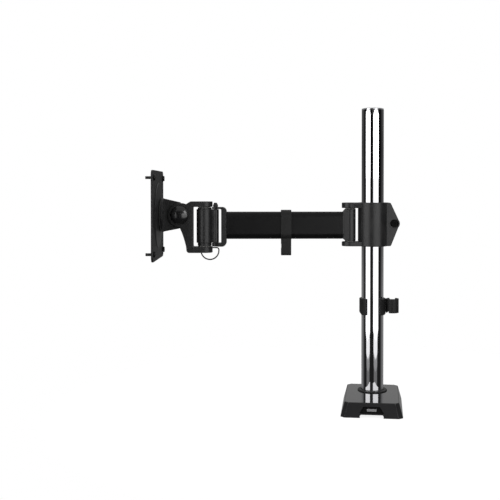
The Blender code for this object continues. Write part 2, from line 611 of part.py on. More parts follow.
def arm_end_yoke(inside, pilot):
    """D-shaped fork at the arm's far end, with the pin that carries the link."""
    round_r = 6.0 * MM
    inner_x = ARM_YOKE_END_X - round_r
    side = [(-222 * MM, ARM_YOKE_LOW)]
    side += arc((inner_x, ARM_YOKE_LOW + round_r), round_r, -90, 0, 6)
    side += arc((inner_x, ARM_YOKE_HIGH - round_r), round_r, 0, 90, 6)
    side += [(-222 * MM, ARM_YOKE_HIGH)]
    yoke = make("arm_end_yoke", slab([side], -12 * MM, 12 * MM, "XZ"), CAST_BLACK, ARM)
    half = TUBE_HALF_Y
    plan = arc((LINK_PIVOT_X, 0), ARM_LUG_R, 90, 270, 14)
    plan += [(ARM_YOKE_WALL_X - 0.6 * MM, -half), (-190 * MM, -half), (-190 * MM, half),
             (ARM_YOKE_WALL_X - 0.6 * MM, half)]
    keep_inside(yoke, slab([plan], ARM_YOKE_LOW - MM, ARM_YOKE_HIGH + MM))
    pin = (LINK_PIVOT_X, 0, 0)
    cut(yoke, block((-225 * MM, -14 * MM, ARM_YOKE_SLOT[0]), (ARM_YOKE_WALL_X, 14 * MM, ARM_YOKE_SLOT[1])),
        rod(LINK_PIN_R + HOLE_CLEAR, ARM_YOKE_LOW - MM, ARM_YOKE_HIGH + MM, pin, steps=16),
        rod(3.9 * MM, ARM_YOKE_LOW - MM, ARM_YOKE_LOW + 2.8 * MM, pin, steps=20))
    join(yoke, slab([tube_outline(inside)], ARM_YOKE_END_X - MM, TUBE_LEFT + PLUG_LENGTH, "YZ"))
    cut(yoke, pilot)

    make("link_pin", screw_shape(3.6 * MM, ARM_YOKE_LOW + 0.2 * MM, ARM_YOKE_LOW + 2.5 * MM, LINK_PIN_R,
                                 ARM_YOKE_HIGH + 3.2 * MM, pin), BLACK_OXIDE, ARM)
    low = ARM_YOKE_HIGH + GAP
    nut = turned([(0, low + 5.6 * MM), (1.6 * MM, low + 5.6 * MM), (3.4 * MM, low + 2.2 * MM),
                  (3.4 * MM, low), (LINK_PIN_R + GAP, low), (LINK_PIN_R + GAP, low + 3.4 * MM),
                  (0, low + 3.4 * MM)], pin, steps=16)
    make("link_pin_cap", nut, BLACK_OXIDE, ARM)


def arm_cable_clip():
    """Band round the tube with an open cable pocket under it."""
    outer, inner = -ARM_CLIP_WALL - GAP, -GAP
    band = make("arm_cable_clip", slab([tube_outline(outer), tube_outline(inner)], *ARM_CLIP_X, "YZ"),
                MATT_BLACK, ARM_CLIP)
    band_low = TUBE_MID_Z - TUBE_HALF_Z - GAP - ARM_CLIP_WALL
    wall, half = 2.0 * MM, 8.6 * MM
    gap_low, gap_high = 213.0 * MM, 218.6 * MM
    mouth, inner_half, corner = band_low + 3.9 * MM, half - wall, 3.0 * MM
    low = ARM_CLIP_LOW
    pocket = [(-half, mouth)] + arc((corner - half, low + corner), corner, 180, 270, 5)
    pocket += arc((half - corner, low + corner), corner, 270, 360, 5)
    pocket += [(half, gap_low), (inner_half, gap_low)]
    soft = corner - wall
    pocket += arc((inner_half - soft, low + wall + soft), soft, 360, 270, 3)
    pocket += arc((soft - inner_half, low + wall + soft), soft, 270, 180, 3) + [(-inner_half, mouth)]
    lip = [(half, mouth), (half, gap_high), (inner_half, gap_high), (inner_half, mouth)]
    inset = 0.2 * MM
    span = (ARM_CLIP_X[0] + inset, ARM_CLIP_X[1] - inset)
    join(band, slab([pocket], *span, "YZ"), slab([lip], *span, "YZ"))


# ---------------------------------------------------------------- link and head

def swivel_link():
    """Two upright barrels in one casting: the small one on the arm, the big one in the head."""
    big, small = (HEAD_PIVOT_X, 0, 0), (LINK_PIVOT_X, 0, 0)
    low, high = HEAD_SLOT[0] + 4 * GAP, HEAD_SLOT[1] - 4 * GAP
    link = make("swivel_link", rod(LINK_R, LINK_LOW, LINK_HIGH, big, steps=36), CAST_BLACK, LINK)
    join(link, rod(LINK_SHOULDER_R, low, high, big, steps=28),
         rod(LINK_SMALL_R, LINK_LOW + 0.1 * MM, LINK_HIGH - 0.1 * MM, small, steps=20),
         block((HEAD_PIVOT_X + 5 * MM, 0.2 * MM - LINK_SMALL_R, LINK_LOW + 0.2 * MM),
               (LINK_PIVOT_X, LINK_SMALL_R - 0.2 * MM, LINK_HIGH - 0.2 * MM)))
    cut(link, rod(HEAD_PIN_R + HOLE_CLEAR, low - MM, high + MM, big, steps=16),
        rod(LINK_PIN_R + HOLE_CLEAR, low - MM, high + MM, small, steps=16))


def head_yoke():
    """Fork that turns on the link, with two round cheeks for the tilt axis."""
    right = HEAD_PIVOT_X + LINK_R
    tilt = (TILT_X, TILT_Z)
    curve_start, curve_bend = Vector((-262.0, 242.6)), Vector((-256.2, 231.0))
    curve_end = Vector((-252.6, 214.1))
    side = [(right + MM, HEAD_LOW), (right + MM, HEAD_HIGH), (-251.6 * MM, HEAD_HIGH)]
    side += arc(tilt, CHEEK_R, 72, 268, 20)
    for i in range(1, 8):
        t = i / 8
        spot = curve_start * (1 - t) ** 2 + curve_bend * 2 * t * (1 - t) + curve_end * t * t
        side.append((spot.x * MM, spot.y * MM))
    side += arc((-248.6 * MM, HEAD_LOW + 4 * MM), 4 * MM, 180, 270, 5)
    yoke = make("head_yoke", slab([side], -14 * MM, 14 * MM, "XZ"), CAST_BLACK, HEAD)
    plan = arc((HEAD_PIVOT_X, 0), HEAD_HALF_Y, -90, 90, 20)
    plan += [(-290 * MM, HEAD_HALF_Y), (-290 * MM, -HEAD_HALF_Y)]
    keep_inside(yoke, slab([plan], HEAD_LOW - MM, HEAD_HIGH + MM))
    pin, axle = (HEAD_PIVOT_X, 0, 0), (TILT_X, 0, TILT_Z)
    loop_low, loop_high = HEAD_LOW + 2.6 * MM, HEAD_SLOT[0] - 0.5 * MM
    join(yoke, block((RING_X - 3 * MM, 5 * MM, loop_low), (RING_X + 3 * MM, RING_Y + 2.2 * MM, loop_high)))
    cut(yoke, block((HEAD_WALL_X, -15 * MM, HEAD_SLOT[0]), (-205 * MM, 20 * MM, HEAD_SLOT[1])),
        block((-295 * MM, -CHEEK_INNER_Y, HEAD_LOW - MM), (THROAT_X, CHEEK_INNER_Y, HEAD_HIGH + MM)),
        rod(TONGUE_R + 0.5 * MM, -CHEEK_INNER_Y, CHEEK_INNER_Y, axle, "Y", 32),
        rod(HEAD_PIN_R + HOLE_CLEAR, HEAD_LOW - MM, HEAD_HIGH + MM, pin, steps=16),
        together([rod(5.9 * MM, HEAD_LOW - MM, HEAD_LOW + 3.4 * MM, pin),
                  rod(5.9 * MM, HEAD_HIGH - 3.4 * MM, HEAD_HIGH + MM, pin)]),
        rod(PIN_R + HOLE_CLEAR, -15 * MM, 15 * MM, axle, "Y", 16),
        rod(RING_WIRE_R + 0.4 * MM, -4 * MM, 4 * MM, (RING_X, RING_Y, RING_Z), "X", 12))


def head_fasteners():
    """Swivel pin with its nut and washers, and the tilt bolt with its cap and nut."""
    pin = (HEAD_PIVOT_X, 0, 0)
    make("head_pin", screw_shape(5.5 * MM, HEAD_LOW + 0.3 * MM, HEAD_LOW + 3.1 * MM, HEAD_PIN_R,
                                 HEAD_HIGH - 1.2 * MM, pin), BLACK_OXIDE, HEAD)
    nut = make("head_pin_nut", rod(5.5 * MM, HEAD_HIGH - 3.1 * MM, HEAD_HIGH - 0.4 * MM, pin),
               BLACK_OXIDE, HEAD)
    cut(nut, rod(HEAD_PIN_R + HOLE_CLEAR, HEAD_HIGH - 5 * MM, HEAD_HIGH + MM, pin, steps=16))
    inner = HEAD_PIN_R + HOLE_CLEAR
    rings = [washer(8.8 * MM, inner, HEAD_SLOT[0] + GAP, HEAD_SLOT[0] + 3 * GAP, pin),
             washer(8.8 * MM, inner, HEAD_SLOT[1] - 3 * GAP, HEAD_SLOT[1] - GAP, pin)]
    make_each("head_pin_washer", rings, NYLON, HEAD)

    axle = (TILT_X, 0, TILT_Z)
    face = HEAD_HALF_Y
    make("tilt_bolt", screw_shape(6.5 * MM, -face - 3.4 * MM, -face - GAP, PIN_R, face + 8 * MM, axle, "Y"),
         BLACK_OXIDE, HEAD)
    base, crown, radius = -face - GAP, -face - 7.0 * MM, 12.3 * MM
    dome = [(radius * math.cos(t), base - 2 * MM - 4.7 * MM * math.sin(t))
            for t in [math.radians(90 * i / 5) for i in range(5)]]
    cap = [(0, base - 3.7 * MM), (7 * MM, base - 3.7 * MM), (7 * MM, base), (radius, base)]
    cap += dome + [(0, crown)]
    make("tilt_cap", turned(cap, axle, "Y", 28), CAST_BLACK, HEAD)
    make("tilt_nut_washer", washer(8.5 * MM, PIN_R + HOLE_CLEAR, face + GAP, face + GAP + MM, axle, "Y"),
         ZINC, HEAD)
    nut = make("tilt_nut", rod(7.4 * MM, face + 1.6 * MM, face + 6.4 * MM, axle, "Y", 6), BLACK_OXIDE, HEAD)
    cut(nut, rod(PIN_R + HOLE_CLEAR, face, face + 9 * MM, axle, "Y", 16))


def cable_ring():
    """Wire loop with one straight side, which hangs in the head yoke's eye."""
    outline = arc((RING_X, RING_CENTRE_Z), RING_R, 180, 360, 14)
    corner_z = RING_Z - RING_CORNER
    outline += arc((RING_X + RING_R - RING_CORNER, corner_z), RING_CORNER, 0, 90, 3)
    outline += arc((RING_X - RING_R + RING_CORNER, corner_z), RING_CORNER, 90, 180, 3)
    curve = bpy.data.curves.new("cable_ring", "CURVE")
    curve.dimensions = "3D"
    curve.bevel_depth = RING_WIRE_R
    curve.bevel_resolution = 1
    spline = curve.splines.new("POLY")
    spline.points.add(len(outline) - 1)
    for point, (x, z) in zip(spline.points, outline):
        point.co = (x, RING_Y, z, 1.0)
    spline.use_cyclic_u = True
    make("cable_ring", evaluated(bpy.data.objects.new("wire", curve)), WIRE_STEEL, RING)


# ---------------------------------------------------------------- tilt block and screen plate

def tilt_group():
    """Tongue between the cheeks, its round flange, friction washers and the plate's pivot bolt."""
    tilt = (TILT_X, TILT_Z)
    root = FLANGE_X + 1.5 * MM
    tongue = [(root, TILT_Z + 22.6 * MM), (root, TILT_Z - 22.6 * MM), (-262.6 * MM, 240.4 * MM)]
    tongue += arc(tilt, TONGUE_R, -75, 75, 16) + [(-262.4 * MM, 276.0 * MM)]
    piece = make("tilt_block", slab([tongue], -TONGUE_HALF_Y, TONGUE_HALF_Y, "XZ"), CAST_BLACK, TILT)
    centre = (0, 0, TILT_Z)
    join(piece, rod(FLANGE_R, FLANGE_X, FLANGE_X + 3 * MM, centre, "X", 36))
    cut(piece, rod(PIN_R + HOLE_CLEAR, -15 * MM, 15 * MM, (TILT_X, 0, TILT_Z), "Y", 16),
        rod(PIN_R + HOLE_CLEAR, FLANGE_X - MM, -270.5 * MM, centre, "X", 16))
    low, high = TONGUE_HALF_Y + GAP, CHEEK_INNER_Y - GAP
    rings = [washer(12 * MM, PIN_R + HOLE_CLEAR, a, b, (TILT_X, 0, TILT_Z), "Y")
             for a, b in ((low, high), (-high, -low))]
    make_each("tilt_friction_washer", rings, NYLON, TILT)
    make("plate_friction_washer", washer(20 * MM, 4.6 * MM, HUB_FRONT_X + GAP, FLANGE_X - GAP, centre, "X"),
         NYLON, TILT)
    back = PLATE_FRONT_X - SCREEN_PLATE_THICK
    pivot = screw_shape(8 * MM, back + 0.3 * MM, PLATE_FRONT_X, PIN_R, -271 * MM, centre, "X")
    make("plate_pivot_bolt", pivot, BLACK_OXIDE, TILT)


def plate_group():
    """Hub, square screen plate, and the screws that join them and hold the screen."""
    centre = (0, 0, TILT_Z)
    rear = PLATE_FRONT_X + GAP
    profile = [(4.6 * MM, HUB_FRONT_X), (24 * MM, HUB_FRONT_X), (42 * MM, rear + 1.0 * MM),
               (HUB_R, rear + 0.4 * MM), (HUB_R, rear), (4.6 * MM, rear)]
    hub = make("screen_hub", turned(profile, centre, "X", 40), CAST_BLACK, PLATE)
    corners = [(y, z) for y in (-1, 1) for z in (-1, 1)]
    joints = [(0, y * HUB_SCREW_REACH, TILT_Z + z * HUB_SCREW_REACH) for y, z in corners]
    cut(hub, together([rod(2.0 * MM, rear - MM, HUB_FRONT_X - 0.5 * MM, spot, "X", 10) for spot in joints]))

    outlines = [rounded_rectangle((0, TILT_Z), SCREEN_PLATE_HALF, SCREEN_PLATE_HALF, 8 * MM),
                circle((0, TILT_Z), 9 * MM)]
    for pitch in SCREEN_PITCHES:
        outlines += [circle((y * pitch / 2, TILT_Z + z * pitch / 2), 2.4 * MM, 10) for y, z in corners]
    outlines += [circle(spot[1:], 2.0 * MM, 10) for spot in joints]
    back = PLATE_FRONT_X - SCREEN_PLATE_THICK
    plate = make("screen_plate", slab(outlines, back, PLATE_FRONT_X, "YZ"), SHEET_BLACK, PLATE)
    cut(plate, together([rod(3.6 * MM, back - MM, back + 1.5 * MM, spot, "X", 12) for spot in joints]))
    make_each("hub_screw", [screw_shape(3.3 * MM, back + 0.2 * MM, back + 1.2 * MM, 1.7 * MM,
                                        HUB_FRONT_X - 0.8 * MM, spot, "X") for spot in joints], ZINC, PLATE)
    reach = SCREEN_PITCHES[0] / 2
    screws = [screw_shape(3.8 * MM, PLATE_FRONT_X + GAP, PLATE_FRONT_X + 2.6 * MM, 2.0 * MM, back - 8 * MM,
                          (0, y * reach, TILT_Z + z * reach), "X") for y, z in corners]
    make_each("screen_screw", screws, BLACK_OXIDE, PLATE)


def build():
    """Make every piece, from the desk up and out along the arm."""
    base_cover()
    base_inside()
    front_trim()
    pole_group()
    pole_cable_clip()
    collar()
    collar_fasteners()
    arm_group()
    arm_cable_clip()
    swivel_link()
    head_yoke()
    head_fasteners()
    cable_ring()
    tilt_group()
    plate_group()


build()
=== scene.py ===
"""Looks of a single monitor arm: chrome pole on a tapered base, collar, tube arm, head and screen plate.

Units are metres, +Z up. The pole stands on the origin, and the swinging arm is drawn along -X in its own
frame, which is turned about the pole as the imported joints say.
"""
import json
import logging
import math
from collections.abc import Iterable, Sequence
from dataclasses import dataclass, field
from enum import Enum

import bmesh
import bpy
from mathutils import Matrix, Vector


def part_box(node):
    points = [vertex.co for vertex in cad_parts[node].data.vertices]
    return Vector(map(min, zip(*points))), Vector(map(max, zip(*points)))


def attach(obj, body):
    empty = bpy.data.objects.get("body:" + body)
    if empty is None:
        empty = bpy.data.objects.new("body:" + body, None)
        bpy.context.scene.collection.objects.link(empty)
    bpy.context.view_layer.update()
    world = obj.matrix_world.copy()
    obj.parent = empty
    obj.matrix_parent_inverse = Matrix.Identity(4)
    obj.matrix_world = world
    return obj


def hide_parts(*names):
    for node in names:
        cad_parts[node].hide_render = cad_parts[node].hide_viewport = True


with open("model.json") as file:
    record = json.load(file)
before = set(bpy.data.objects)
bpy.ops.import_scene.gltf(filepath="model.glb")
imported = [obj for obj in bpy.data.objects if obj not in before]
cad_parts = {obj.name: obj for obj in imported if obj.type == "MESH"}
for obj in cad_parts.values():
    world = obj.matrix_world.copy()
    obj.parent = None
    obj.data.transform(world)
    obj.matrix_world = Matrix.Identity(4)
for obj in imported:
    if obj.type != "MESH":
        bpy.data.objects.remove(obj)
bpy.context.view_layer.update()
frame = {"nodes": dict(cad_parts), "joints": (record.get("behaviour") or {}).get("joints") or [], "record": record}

MM = 0.001
MERGE = 0.002 * MM
CLEAR = 0.3 * MM

Point = tuple[float, float]
Corner = tuple[float, float, float]
Colour = tuple[float, float, float]
Triple = tuple[float, float, float]

log = logging.getLogger("monitor_arm")


# ---------------------------------------------------------------- shader groups

class Wiring:
    """A node tree being wired, either a material's or a group's."""

    def __init__(self, tree: bpy.types.NodeTree) -> None:
        self.tree = tree

    def add(self, kind: str, inputs: dict | None = None, **settings: object) -> bpy.types.Node:
        """Add a node.

        Args:
            kind: Blender's type name of the node.
            inputs: socket names or numbers, each with a constant or with the socket that feeds it.
            settings: attributes of the node itself.

        Returns:
            The new node.
        """
        node = self.tree.nodes.new(kind)
        for name, value in settings.items():
            setattr(node, name, value)
        for name, value in (inputs or {}).items():
            if isinstance(value, bpy.types.NodeSocket):
                self.tree.links.new(value, node.inputs[name])
            else:
                node.inputs[name].default_value = value
        return node

    def maths(self, operation: str, *values: object) -> bpy.types.NodeSocket:
        """Do one sum on numbers or sockets, and return its result socket."""
        return self.add("ShaderNodeMath", dict(enumerate(values)), operation=operation).outputs[0]

    def spread(self, value: object, low: float, high: float, to_low: float = 0.0,
               to_high: float = 1.0) -> bpy.types.NodeSocket:
        """Map a value's range onto another, clamped, and return the result socket."""
        return self.add("ShaderNodeMapRange", {"Value": value, "From Min": low, "From Max": high,
                                               "To Min": to_low, "To Max": to_high}).outputs["Result"]

    def blend(self, share: object, first: object, second: object) -> bpy.types.NodeSocket:
        """Mix two colours by a share, and return the result socket."""
        node = self.add("ShaderNodeMix", {"Factor": share}, data_type="RGBA")
        for name, value in (("A", first), ("B", second)):
            slot = next(s for s in node.inputs if s.name == name and s.type == "RGBA")
            if isinstance(value, bpy.types.NodeSocket):
                self.tree.links.new(value, slot)
            else:
                slot.default_value = (*value, 1.0)
        return next(s for s in node.outputs if s.type == "RGBA")

    def noise(self, where: object, scale: object, detail: float = 3.0,
              roughness: float = 0.55) -> bpy.types.NodeSocket:
        """Add a noise and return its value socket."""
        return self.add("ShaderNodeTexNoise", {"Vector": where, "Scale": scale, "Detail": detail,
                                               "Roughness": roughness}).outputs["Fac"]


class Group(Wiring):
    """A shader group with named inputs and outputs."""

    def __init__(self, name: str, inputs: dict[str, float], outputs: dict[str, str]) -> None:
        super().__init__(bpy.data.node_groups.new(name, "ShaderNodeTree"))
        for label, value in inputs.items():
            socket = self.tree.interface.new_socket(label, in_out="INPUT", socket_type="NodeSocketFloat")
            socket.default_value = value
        for label, kind in outputs.items():
            self.tree.interface.new_socket(label, in_out="OUTPUT", socket_type=kind)
        self.given = self.add("NodeGroupInput").outputs
        self.result = self.add("NodeGroupOutput").inputs

    def put(self, label: str, socket: bpy.types.NodeSocket) -> None:
        """Send a socket out of the group."""
        self.tree.links.new(socket, self.result[label])


FLOAT, VECTOR = "NodeSocketFloat", "NodeSocketVector"


def coat_grain_group() -> bpy.types.NodeTree:
    """Fine pebble of a coat or a moulding, with a slow mottle over it.

    Returns:
        The group, with outputs Normal, Mottle and Fine.
    """
    group = Group("coat_grain", {"Scale": 1500.0, "Depth": 0.00002, "Mottle Scale": 90.0},
                  {"Normal": VECTOR, "Mottle": FLOAT, "Fine": FLOAT})
    where = group.add("ShaderNodeTexCoord").outputs["Object"]
    fine = group.noise(where, group.given["Scale"], 4.0, 0.6)
    mottle = group.noise(where, group.given["Mottle Scale"], 5.0, 0.65)
    bump = group.add("ShaderNodeBump", {"Strength": 1.0, "Distance": group.given["Depth"], "Height": fine})
    group.put("Normal", bump.outputs["Normal"])
    group.put("Mottle", group.spread(mottle, 0.32, 0.68))
    group.put("Fine", fine)
    return group.tree


def edge_wear_group() -> bpy.types.NodeTree:
    """Mask of edges that hands and tools have rubbed.

    Returns:
        The group, with output Mask.
    """
    group = Group("edge_wear", {"Radius": 0.0006, "Break Scale": 400.0}, {"Mask": FLOAT})
    rounded = group.add("ShaderNodeBevel", {"Radius": group.given["Radius"]}, samples=4)
    shape = group.add("ShaderNodeNewGeometry")
    dot = group.add("ShaderNodeVectorMath", {0: rounded.outputs["Normal"], 1: shape.outputs["Normal"]},
                    operation="DOT_PRODUCT")
    edge = group.spread(dot.outputs["Value"], 0.995, 0.90)
    where = group.add("ShaderNodeTexCoord").outputs["Object"]
    broken = group.spread(group.noise(where, group.given["Break Scale"], 4.0), 0.35, 0.75)
    group.put("Mask", group.maths("MULTIPLY", edge, broken))
    return group.tree


def dust_group() -> bpy.types.NodeTree:
    """Mask of the dust that settles on what faces up.

    Returns:
        The group, with output Mask.
    """
    group = Group("settled_dust", {"Scale": 500.0}, {"Mask": FLOAT})
    shape = group.add("ShaderNodeNewGeometry")
    parts = group.add("ShaderNodeSeparateXYZ", {"Vector": shape.outputs["Normal"]})
    level = group.spread(parts.outputs["Z"], 0.55, 1.0)
    where = group.add("ShaderNodeTexCoord").outputs["Object"]
    speck = group.spread(group.noise(where, group.given["Scale"], 6.0, 0.75), 0.52, 0.78)
    group.put("Mask", group.maths("MULTIPLY", level, speck))
    return group.tree


def drawn_lines_group() -> bpy.types.NodeTree:
    """Fine lines left by drawing, turning or polishing, long one way.

    Returns:
        The group, with outputs Normal and Lines.
    """
    group = Group("drawn_lines", {"Across X": 2500.0, "Across Y": 2500.0, "Along Z": 15.0, "Depth": 0.000003},
                  {"Normal": VECTOR, "Lines": FLOAT})
    where = group.add("ShaderNodeTexCoord").outputs["Object"]
    scale = group.add("ShaderNodeCombineXYZ", {"X": group.given["Across X"], "Y": group.given["Across Y"],
                                               "Z": group.given["Along Z"]})
    stretched = group.add("ShaderNodeVectorMath", {0: where, 1: scale.outputs[0]}, operation="MULTIPLY")
    lines = group.noise(stretched.outputs[0], 1.0, 3.0, 0.6)
    bump = group.add("ShaderNodeBump", {"Strength": 1.0, "Distance": group.given["Depth"], "Height": lines})
    group.put("Normal", bump.outputs["Normal"])
    group.put("Lines", lines)
    return group.tree


class Effects:
    """The shader groups, built once and placed in each material with its own values."""

    def __init__(self) -> None:
        self.grain = coat_grain_group()
        self.wear = edge_wear_group()
        self.dust = dust_group()
        self.lines = drawn_lines_group()

    @staticmethod
    def place(wiring: Wiring, tree: bpy.types.NodeTree, values: dict[str, float]) -> bpy.types.Node:
        """Place a group in a material with its own values."""
        node = wiring.add("ShaderNodeGroup", node_tree=tree)
        for name, value in values.items():
            node.inputs[name].default_value = value
        return node


# ---------------------------------------------------------------- finishes

class Surface(Enum):
    """How a finish gets its fine relief."""

    COATED = "coated"
    DRAWN = "drawn"


@dataclass(frozen=True)
class Finish:
    """One finish: its colours, its gloss and the detail laid over them."""

    name: str
    slot: str
    colour: Colour
    tint: Colour
    roughness: float
    spread: float = 0.08
    metallic: float = 0.0
    specular: float = 0.5
    coat: float = 0.0
    surface: Surface = Surface.COATED
    grain_scale: float = 1500.0
    grain_depth: float = 0.02 * MM
    mottle_scale: float = 90.0
    lines: tuple[float, float, float] = (2500.0, 2500.0, 15.0)
    wear_colour: Colour = (0.10, 0.10, 0.10)
    wear: float = 0.5
    wear_radius: float = 0.6 * MM
    dust: float = 0.25
    dust_colour: Colour = (0.30, 0.29, 0.28)

    def material(self, effects: Effects) -> bpy.types.Material:
        """Build the finish as a material.

        Args:
            effects: the shared shader groups.

        Returns:
            The new material.
        """
        made = bpy.data.materials.new(self.name)
        made.use_nodes = True
        wiring = Wiring(made.node_tree)
        shader = made.node_tree.nodes["Principled BSDF"]
        for socket, value in (("Metallic", self.metallic), ("Specular IOR Level", self.specular),
                              ("Coat Weight", self.coat), ("Coat Roughness", 0.05)):
            shader.inputs[socket].default_value = value
        grain = effects.place(wiring, effects.grain, {"Scale": self.grain_scale, "Depth": self.grain_depth,
                                                      "Mottle Scale": self.mottle_scale})
        normal, rough = grain.outputs["Normal"], grain.outputs["Mottle"]
        if self.surface is Surface.DRAWN:
            across_x, across_y, along_z = self.lines
            drawn = effects.place(wiring, effects.lines, {"Across X": across_x, "Across Y": across_y,
                                                          "Along Z": along_z, "Depth": self.grain_depth})
            normal = drawn.outputs["Normal"]
            rough = wiring.maths("MULTIPLY", rough, drawn.outputs["Lines"])
        wear = effects.place(wiring, effects.wear, {"Radius": self.wear_radius})
        dust = effects.place(wiring, effects.dust, {})
        rubbed = wiring.maths("MULTIPLY", wear.outputs["Mask"], self.wear)
        dusty = wiring.maths("MULTIPLY", dust.outputs["Mask"], self.dust)
        colour = wiring.blend(grain.outputs["Mottle"], self.colour, self.tint)
        colour = wiring.blend(rubbed, colour, self.wear_colour)
        colour = wiring.blend(dusty, colour, self.dust_colour)
        gloss = wiring.spread(rough, 0.0, 1.0, self.roughness - self.spread / 2, self.roughness + self.spread / 2)
        gloss = wiring.maths("ADD", gloss, wiring.maths("MULTIPLY", dusty, 0.3))
        links = made.node_tree.links
        links.new(colour, shader.inputs["Base Color"])
        links.new(gloss, shader.inputs["Roughness"])
        links.new(normal, shader.inputs["Normal"])
        return made


CAP_FINISH = Finish(
    "polished_cast_black", "cast_black", (0.010, 0.010, 0.0105), (0.014, 0.014, 0.0145), 0.17, 0.06,
    specular=0.8, grain_scale=900.0, grain_depth=0.002 * MM, wear=0.3, wear_colour=(0.09, 0.09, 0.09), dust=0.1)
# Painted shade: a near-black, matt copy of the matt black finish, darker than any moulding or oxide itself, worn
# where recesses should look shadowed
SHADE_PAINTED_FINISH = Finish(
    "painted_shade_black", "matt_black", (0.002, 0.002, 0.002), (0.003, 0.003, 0.003), 0.60, 0.06,
    specular=0.12, wear=0.1, dust=0.02)
FINISHES = (
    Finish("chrome_plate", "chrome", (0.86, 0.86, 0.88), (0.80, 0.80, 0.82), 0.045, 0.03, metallic=1.0,
           surface=Surface.DRAWN, grain_depth=0.0004 * MM, mottle_scale=25.0, wear=0.0, dust=0.03),
    Finish("gloss_black_moulding", "gloss_black", (0.016, 0.016, 0.0165), (0.020, 0.020, 0.0205), 0.06, 0.04,
           grain_scale=350.0, grain_depth=0.001 * MM, mottle_scale=40.0, wear=0.25,
           wear_colour=(0.06, 0.06, 0.06), dust=0.05),
    Finish("satin_cast_black", "cast_black", (0.013, 0.013, 0.0135), (0.020, 0.020, 0.0205), 0.36, 0.10,
           grain_scale=1300.0, grain_depth=0.012 * MM, wear=0.6, wear_colour=(0.09, 0.09, 0.09)),
    Finish("drawn_tube_black", "tube_black", (0.004, 0.004, 0.0042), (0.006, 0.006, 0.0062), 0.38, 0.06,
           specular=0.22, surface=Surface.DRAWN, lines=(12.0, 1800.0, 1800.0), grain_depth=0.002 * MM,
           wear=0.4, wear_colour=(0.06, 0.06, 0.06)),
    Finish("matt_black_moulding", "matt_black", (0.009, 0.009, 0.009), (0.013, 0.013, 0.013), 0.52, 0.10,
           specular=0.35, grain_scale=2200.0, grain_depth=0.02 * MM, wear=0.4),
    Finish("painted_sheet_black", "sheet_black", (0.011, 0.011, 0.0115), (0.016, 0.016, 0.0165), 0.46, 0.10,
           grain_scale=1100.0, grain_depth=0.015 * MM, wear=0.5),
    Finish("oxide_black", "black_oxide", (0.022, 0.022, 0.022), (0.034, 0.034, 0.034), 0.30, 0.12,
           metallic=0.7, grain_scale=2600.0, grain_depth=0.004 * MM, wear=0.8, wear_colour=(0.20, 0.20, 0.20)),
    Finish("bright_zinc", "zinc", (0.55, 0.56, 0.58), (0.46, 0.47, 0.50), 0.28, 0.14, metallic=1.0,
           grain_scale=1800.0, grain_depth=0.003 * MM, mottle_scale=300.0, wear=0.3,
           wear_colour=(0.75, 0.75, 0.76), dust=0.1),
    Finish("moulded_nylon", "nylon", (0.20, 0.20, 0.19), (0.24, 0.24, 0.23), 0.55, 0.10,
           grain_scale=2000.0, grain_depth=0.01 * MM, wear=0.2, wear_colour=(0.35, 0.35, 0.35)),
    Finish("foam_rubber", "pad_rubber", (0.014, 0.014, 0.014), (0.020, 0.020, 0.020), 0.82, 0.10,
           specular=0.3, grain_scale=1400.0, grain_depth=0.08 * MM, wear=0.1),
    Finish("brushed_light_insert", "light_insert", (0.30, 0.30, 0.305), (0.25, 0.25, 0.255), 0.40, 0.12,
           metallic=0.6, surface=Surface.DRAWN, lines=(60.0, 4000.0, 4000.0), grain_depth=0.004 * MM,
           wear=0.2, wear_colour=(0.7, 0.7, 0.7), dust=0.1),
    Finish("dark_spring_wire", "wire_steel", (0.16, 0.16, 0.16), (0.10, 0.10, 0.10), 0.30, 0.12, metallic=1.0,
           grain_scale=3000.0, grain_depth=0.002 * MM, mottle_scale=300.0, wear=0.2),
)


# ---------------------------------------------------------------- outlines

def arc(centre: Point, radius: float, start: float, end: float, steps: int = 24) -> list[Point]:
    """Points along an arc.

    Args:
        centre: the arc's centre.
        radius: its radius.
        start: the first angle, in degrees.
        end: the last angle, in degrees.
        steps: how many chords it has.

    Returns:
        The points, both ends included.
    """
    turns = [math.radians(start + (end - start) * i / steps) for i in range(steps + 1)]
    return [(centre[0] + radius * math.cos(t), centre[1] + radius * math.sin(t)) for t in turns]


def fillet(corners: Sequence[Corner], closed: bool = True, steps: int = 6) -> list[Point]:
    """Round the corners of a path.

    Args:
        corners: each corner's place and its rounding radius, 0 where it stays sharp.
        closed: whether the last corner joins the first.
        steps: chords in each rounding.

    Returns:
        The points of the rounded path.
    """
    count, points = len(corners), []
    for number, (u, v, radius) in enumerate(corners):
        here = Vector((u, v))
        if radius <= 0 or (not closed and number in (0, count - 1)):
            points.append((u, v))
            continue
        back = (Vector(corners[number - 1][:2]) - here).normalized()
        ahead = (Vector(corners[(number + 1) % count][:2]) - here).normalized()
        half = back.angle(ahead) / 2
        centre = here + (back + ahead).normalized() * (radius / math.sin(half))
        first = here + back * (radius / math.tan(half)) - centre
        turn = math.copysign(math.pi - 2 * half, back.x * ahead.y - back.y * ahead.x) * -1
        for step in range(steps + 1):
            spot = centre + Matrix.Rotation(turn * step / steps, 2) @ first
            points.append((spot.x, spot.y))
    return points


def rectangle(centre: Point, half_u: float, half_v: float, corner: float, steps: int = 8) -> list[Point]:
    """Outline of a rectangle with round corners."""
    return fillet([(centre[0] + u * half_u, centre[1] + v * half_v, corner)
                   for u, v in ((1, 1), (-1, 1), (-1, -1), (1, -1))], steps=steps)


def curve_between(start: Point, bend: Point, end: Point, steps: int = 16) -> list[Point]:
    """Points on a curve that leaves start towards bend and comes into end from it, ends left out."""
    a, b, c = Vector(start), Vector(bend), Vector(end)
    shares = [i / steps for i in range(1, steps)]
    return [tuple(a * (1 - t) ** 2 + b * 2 * t * (1 - t) + c * t * t) for t in shares]


# ---------------------------------------------------------------- solids

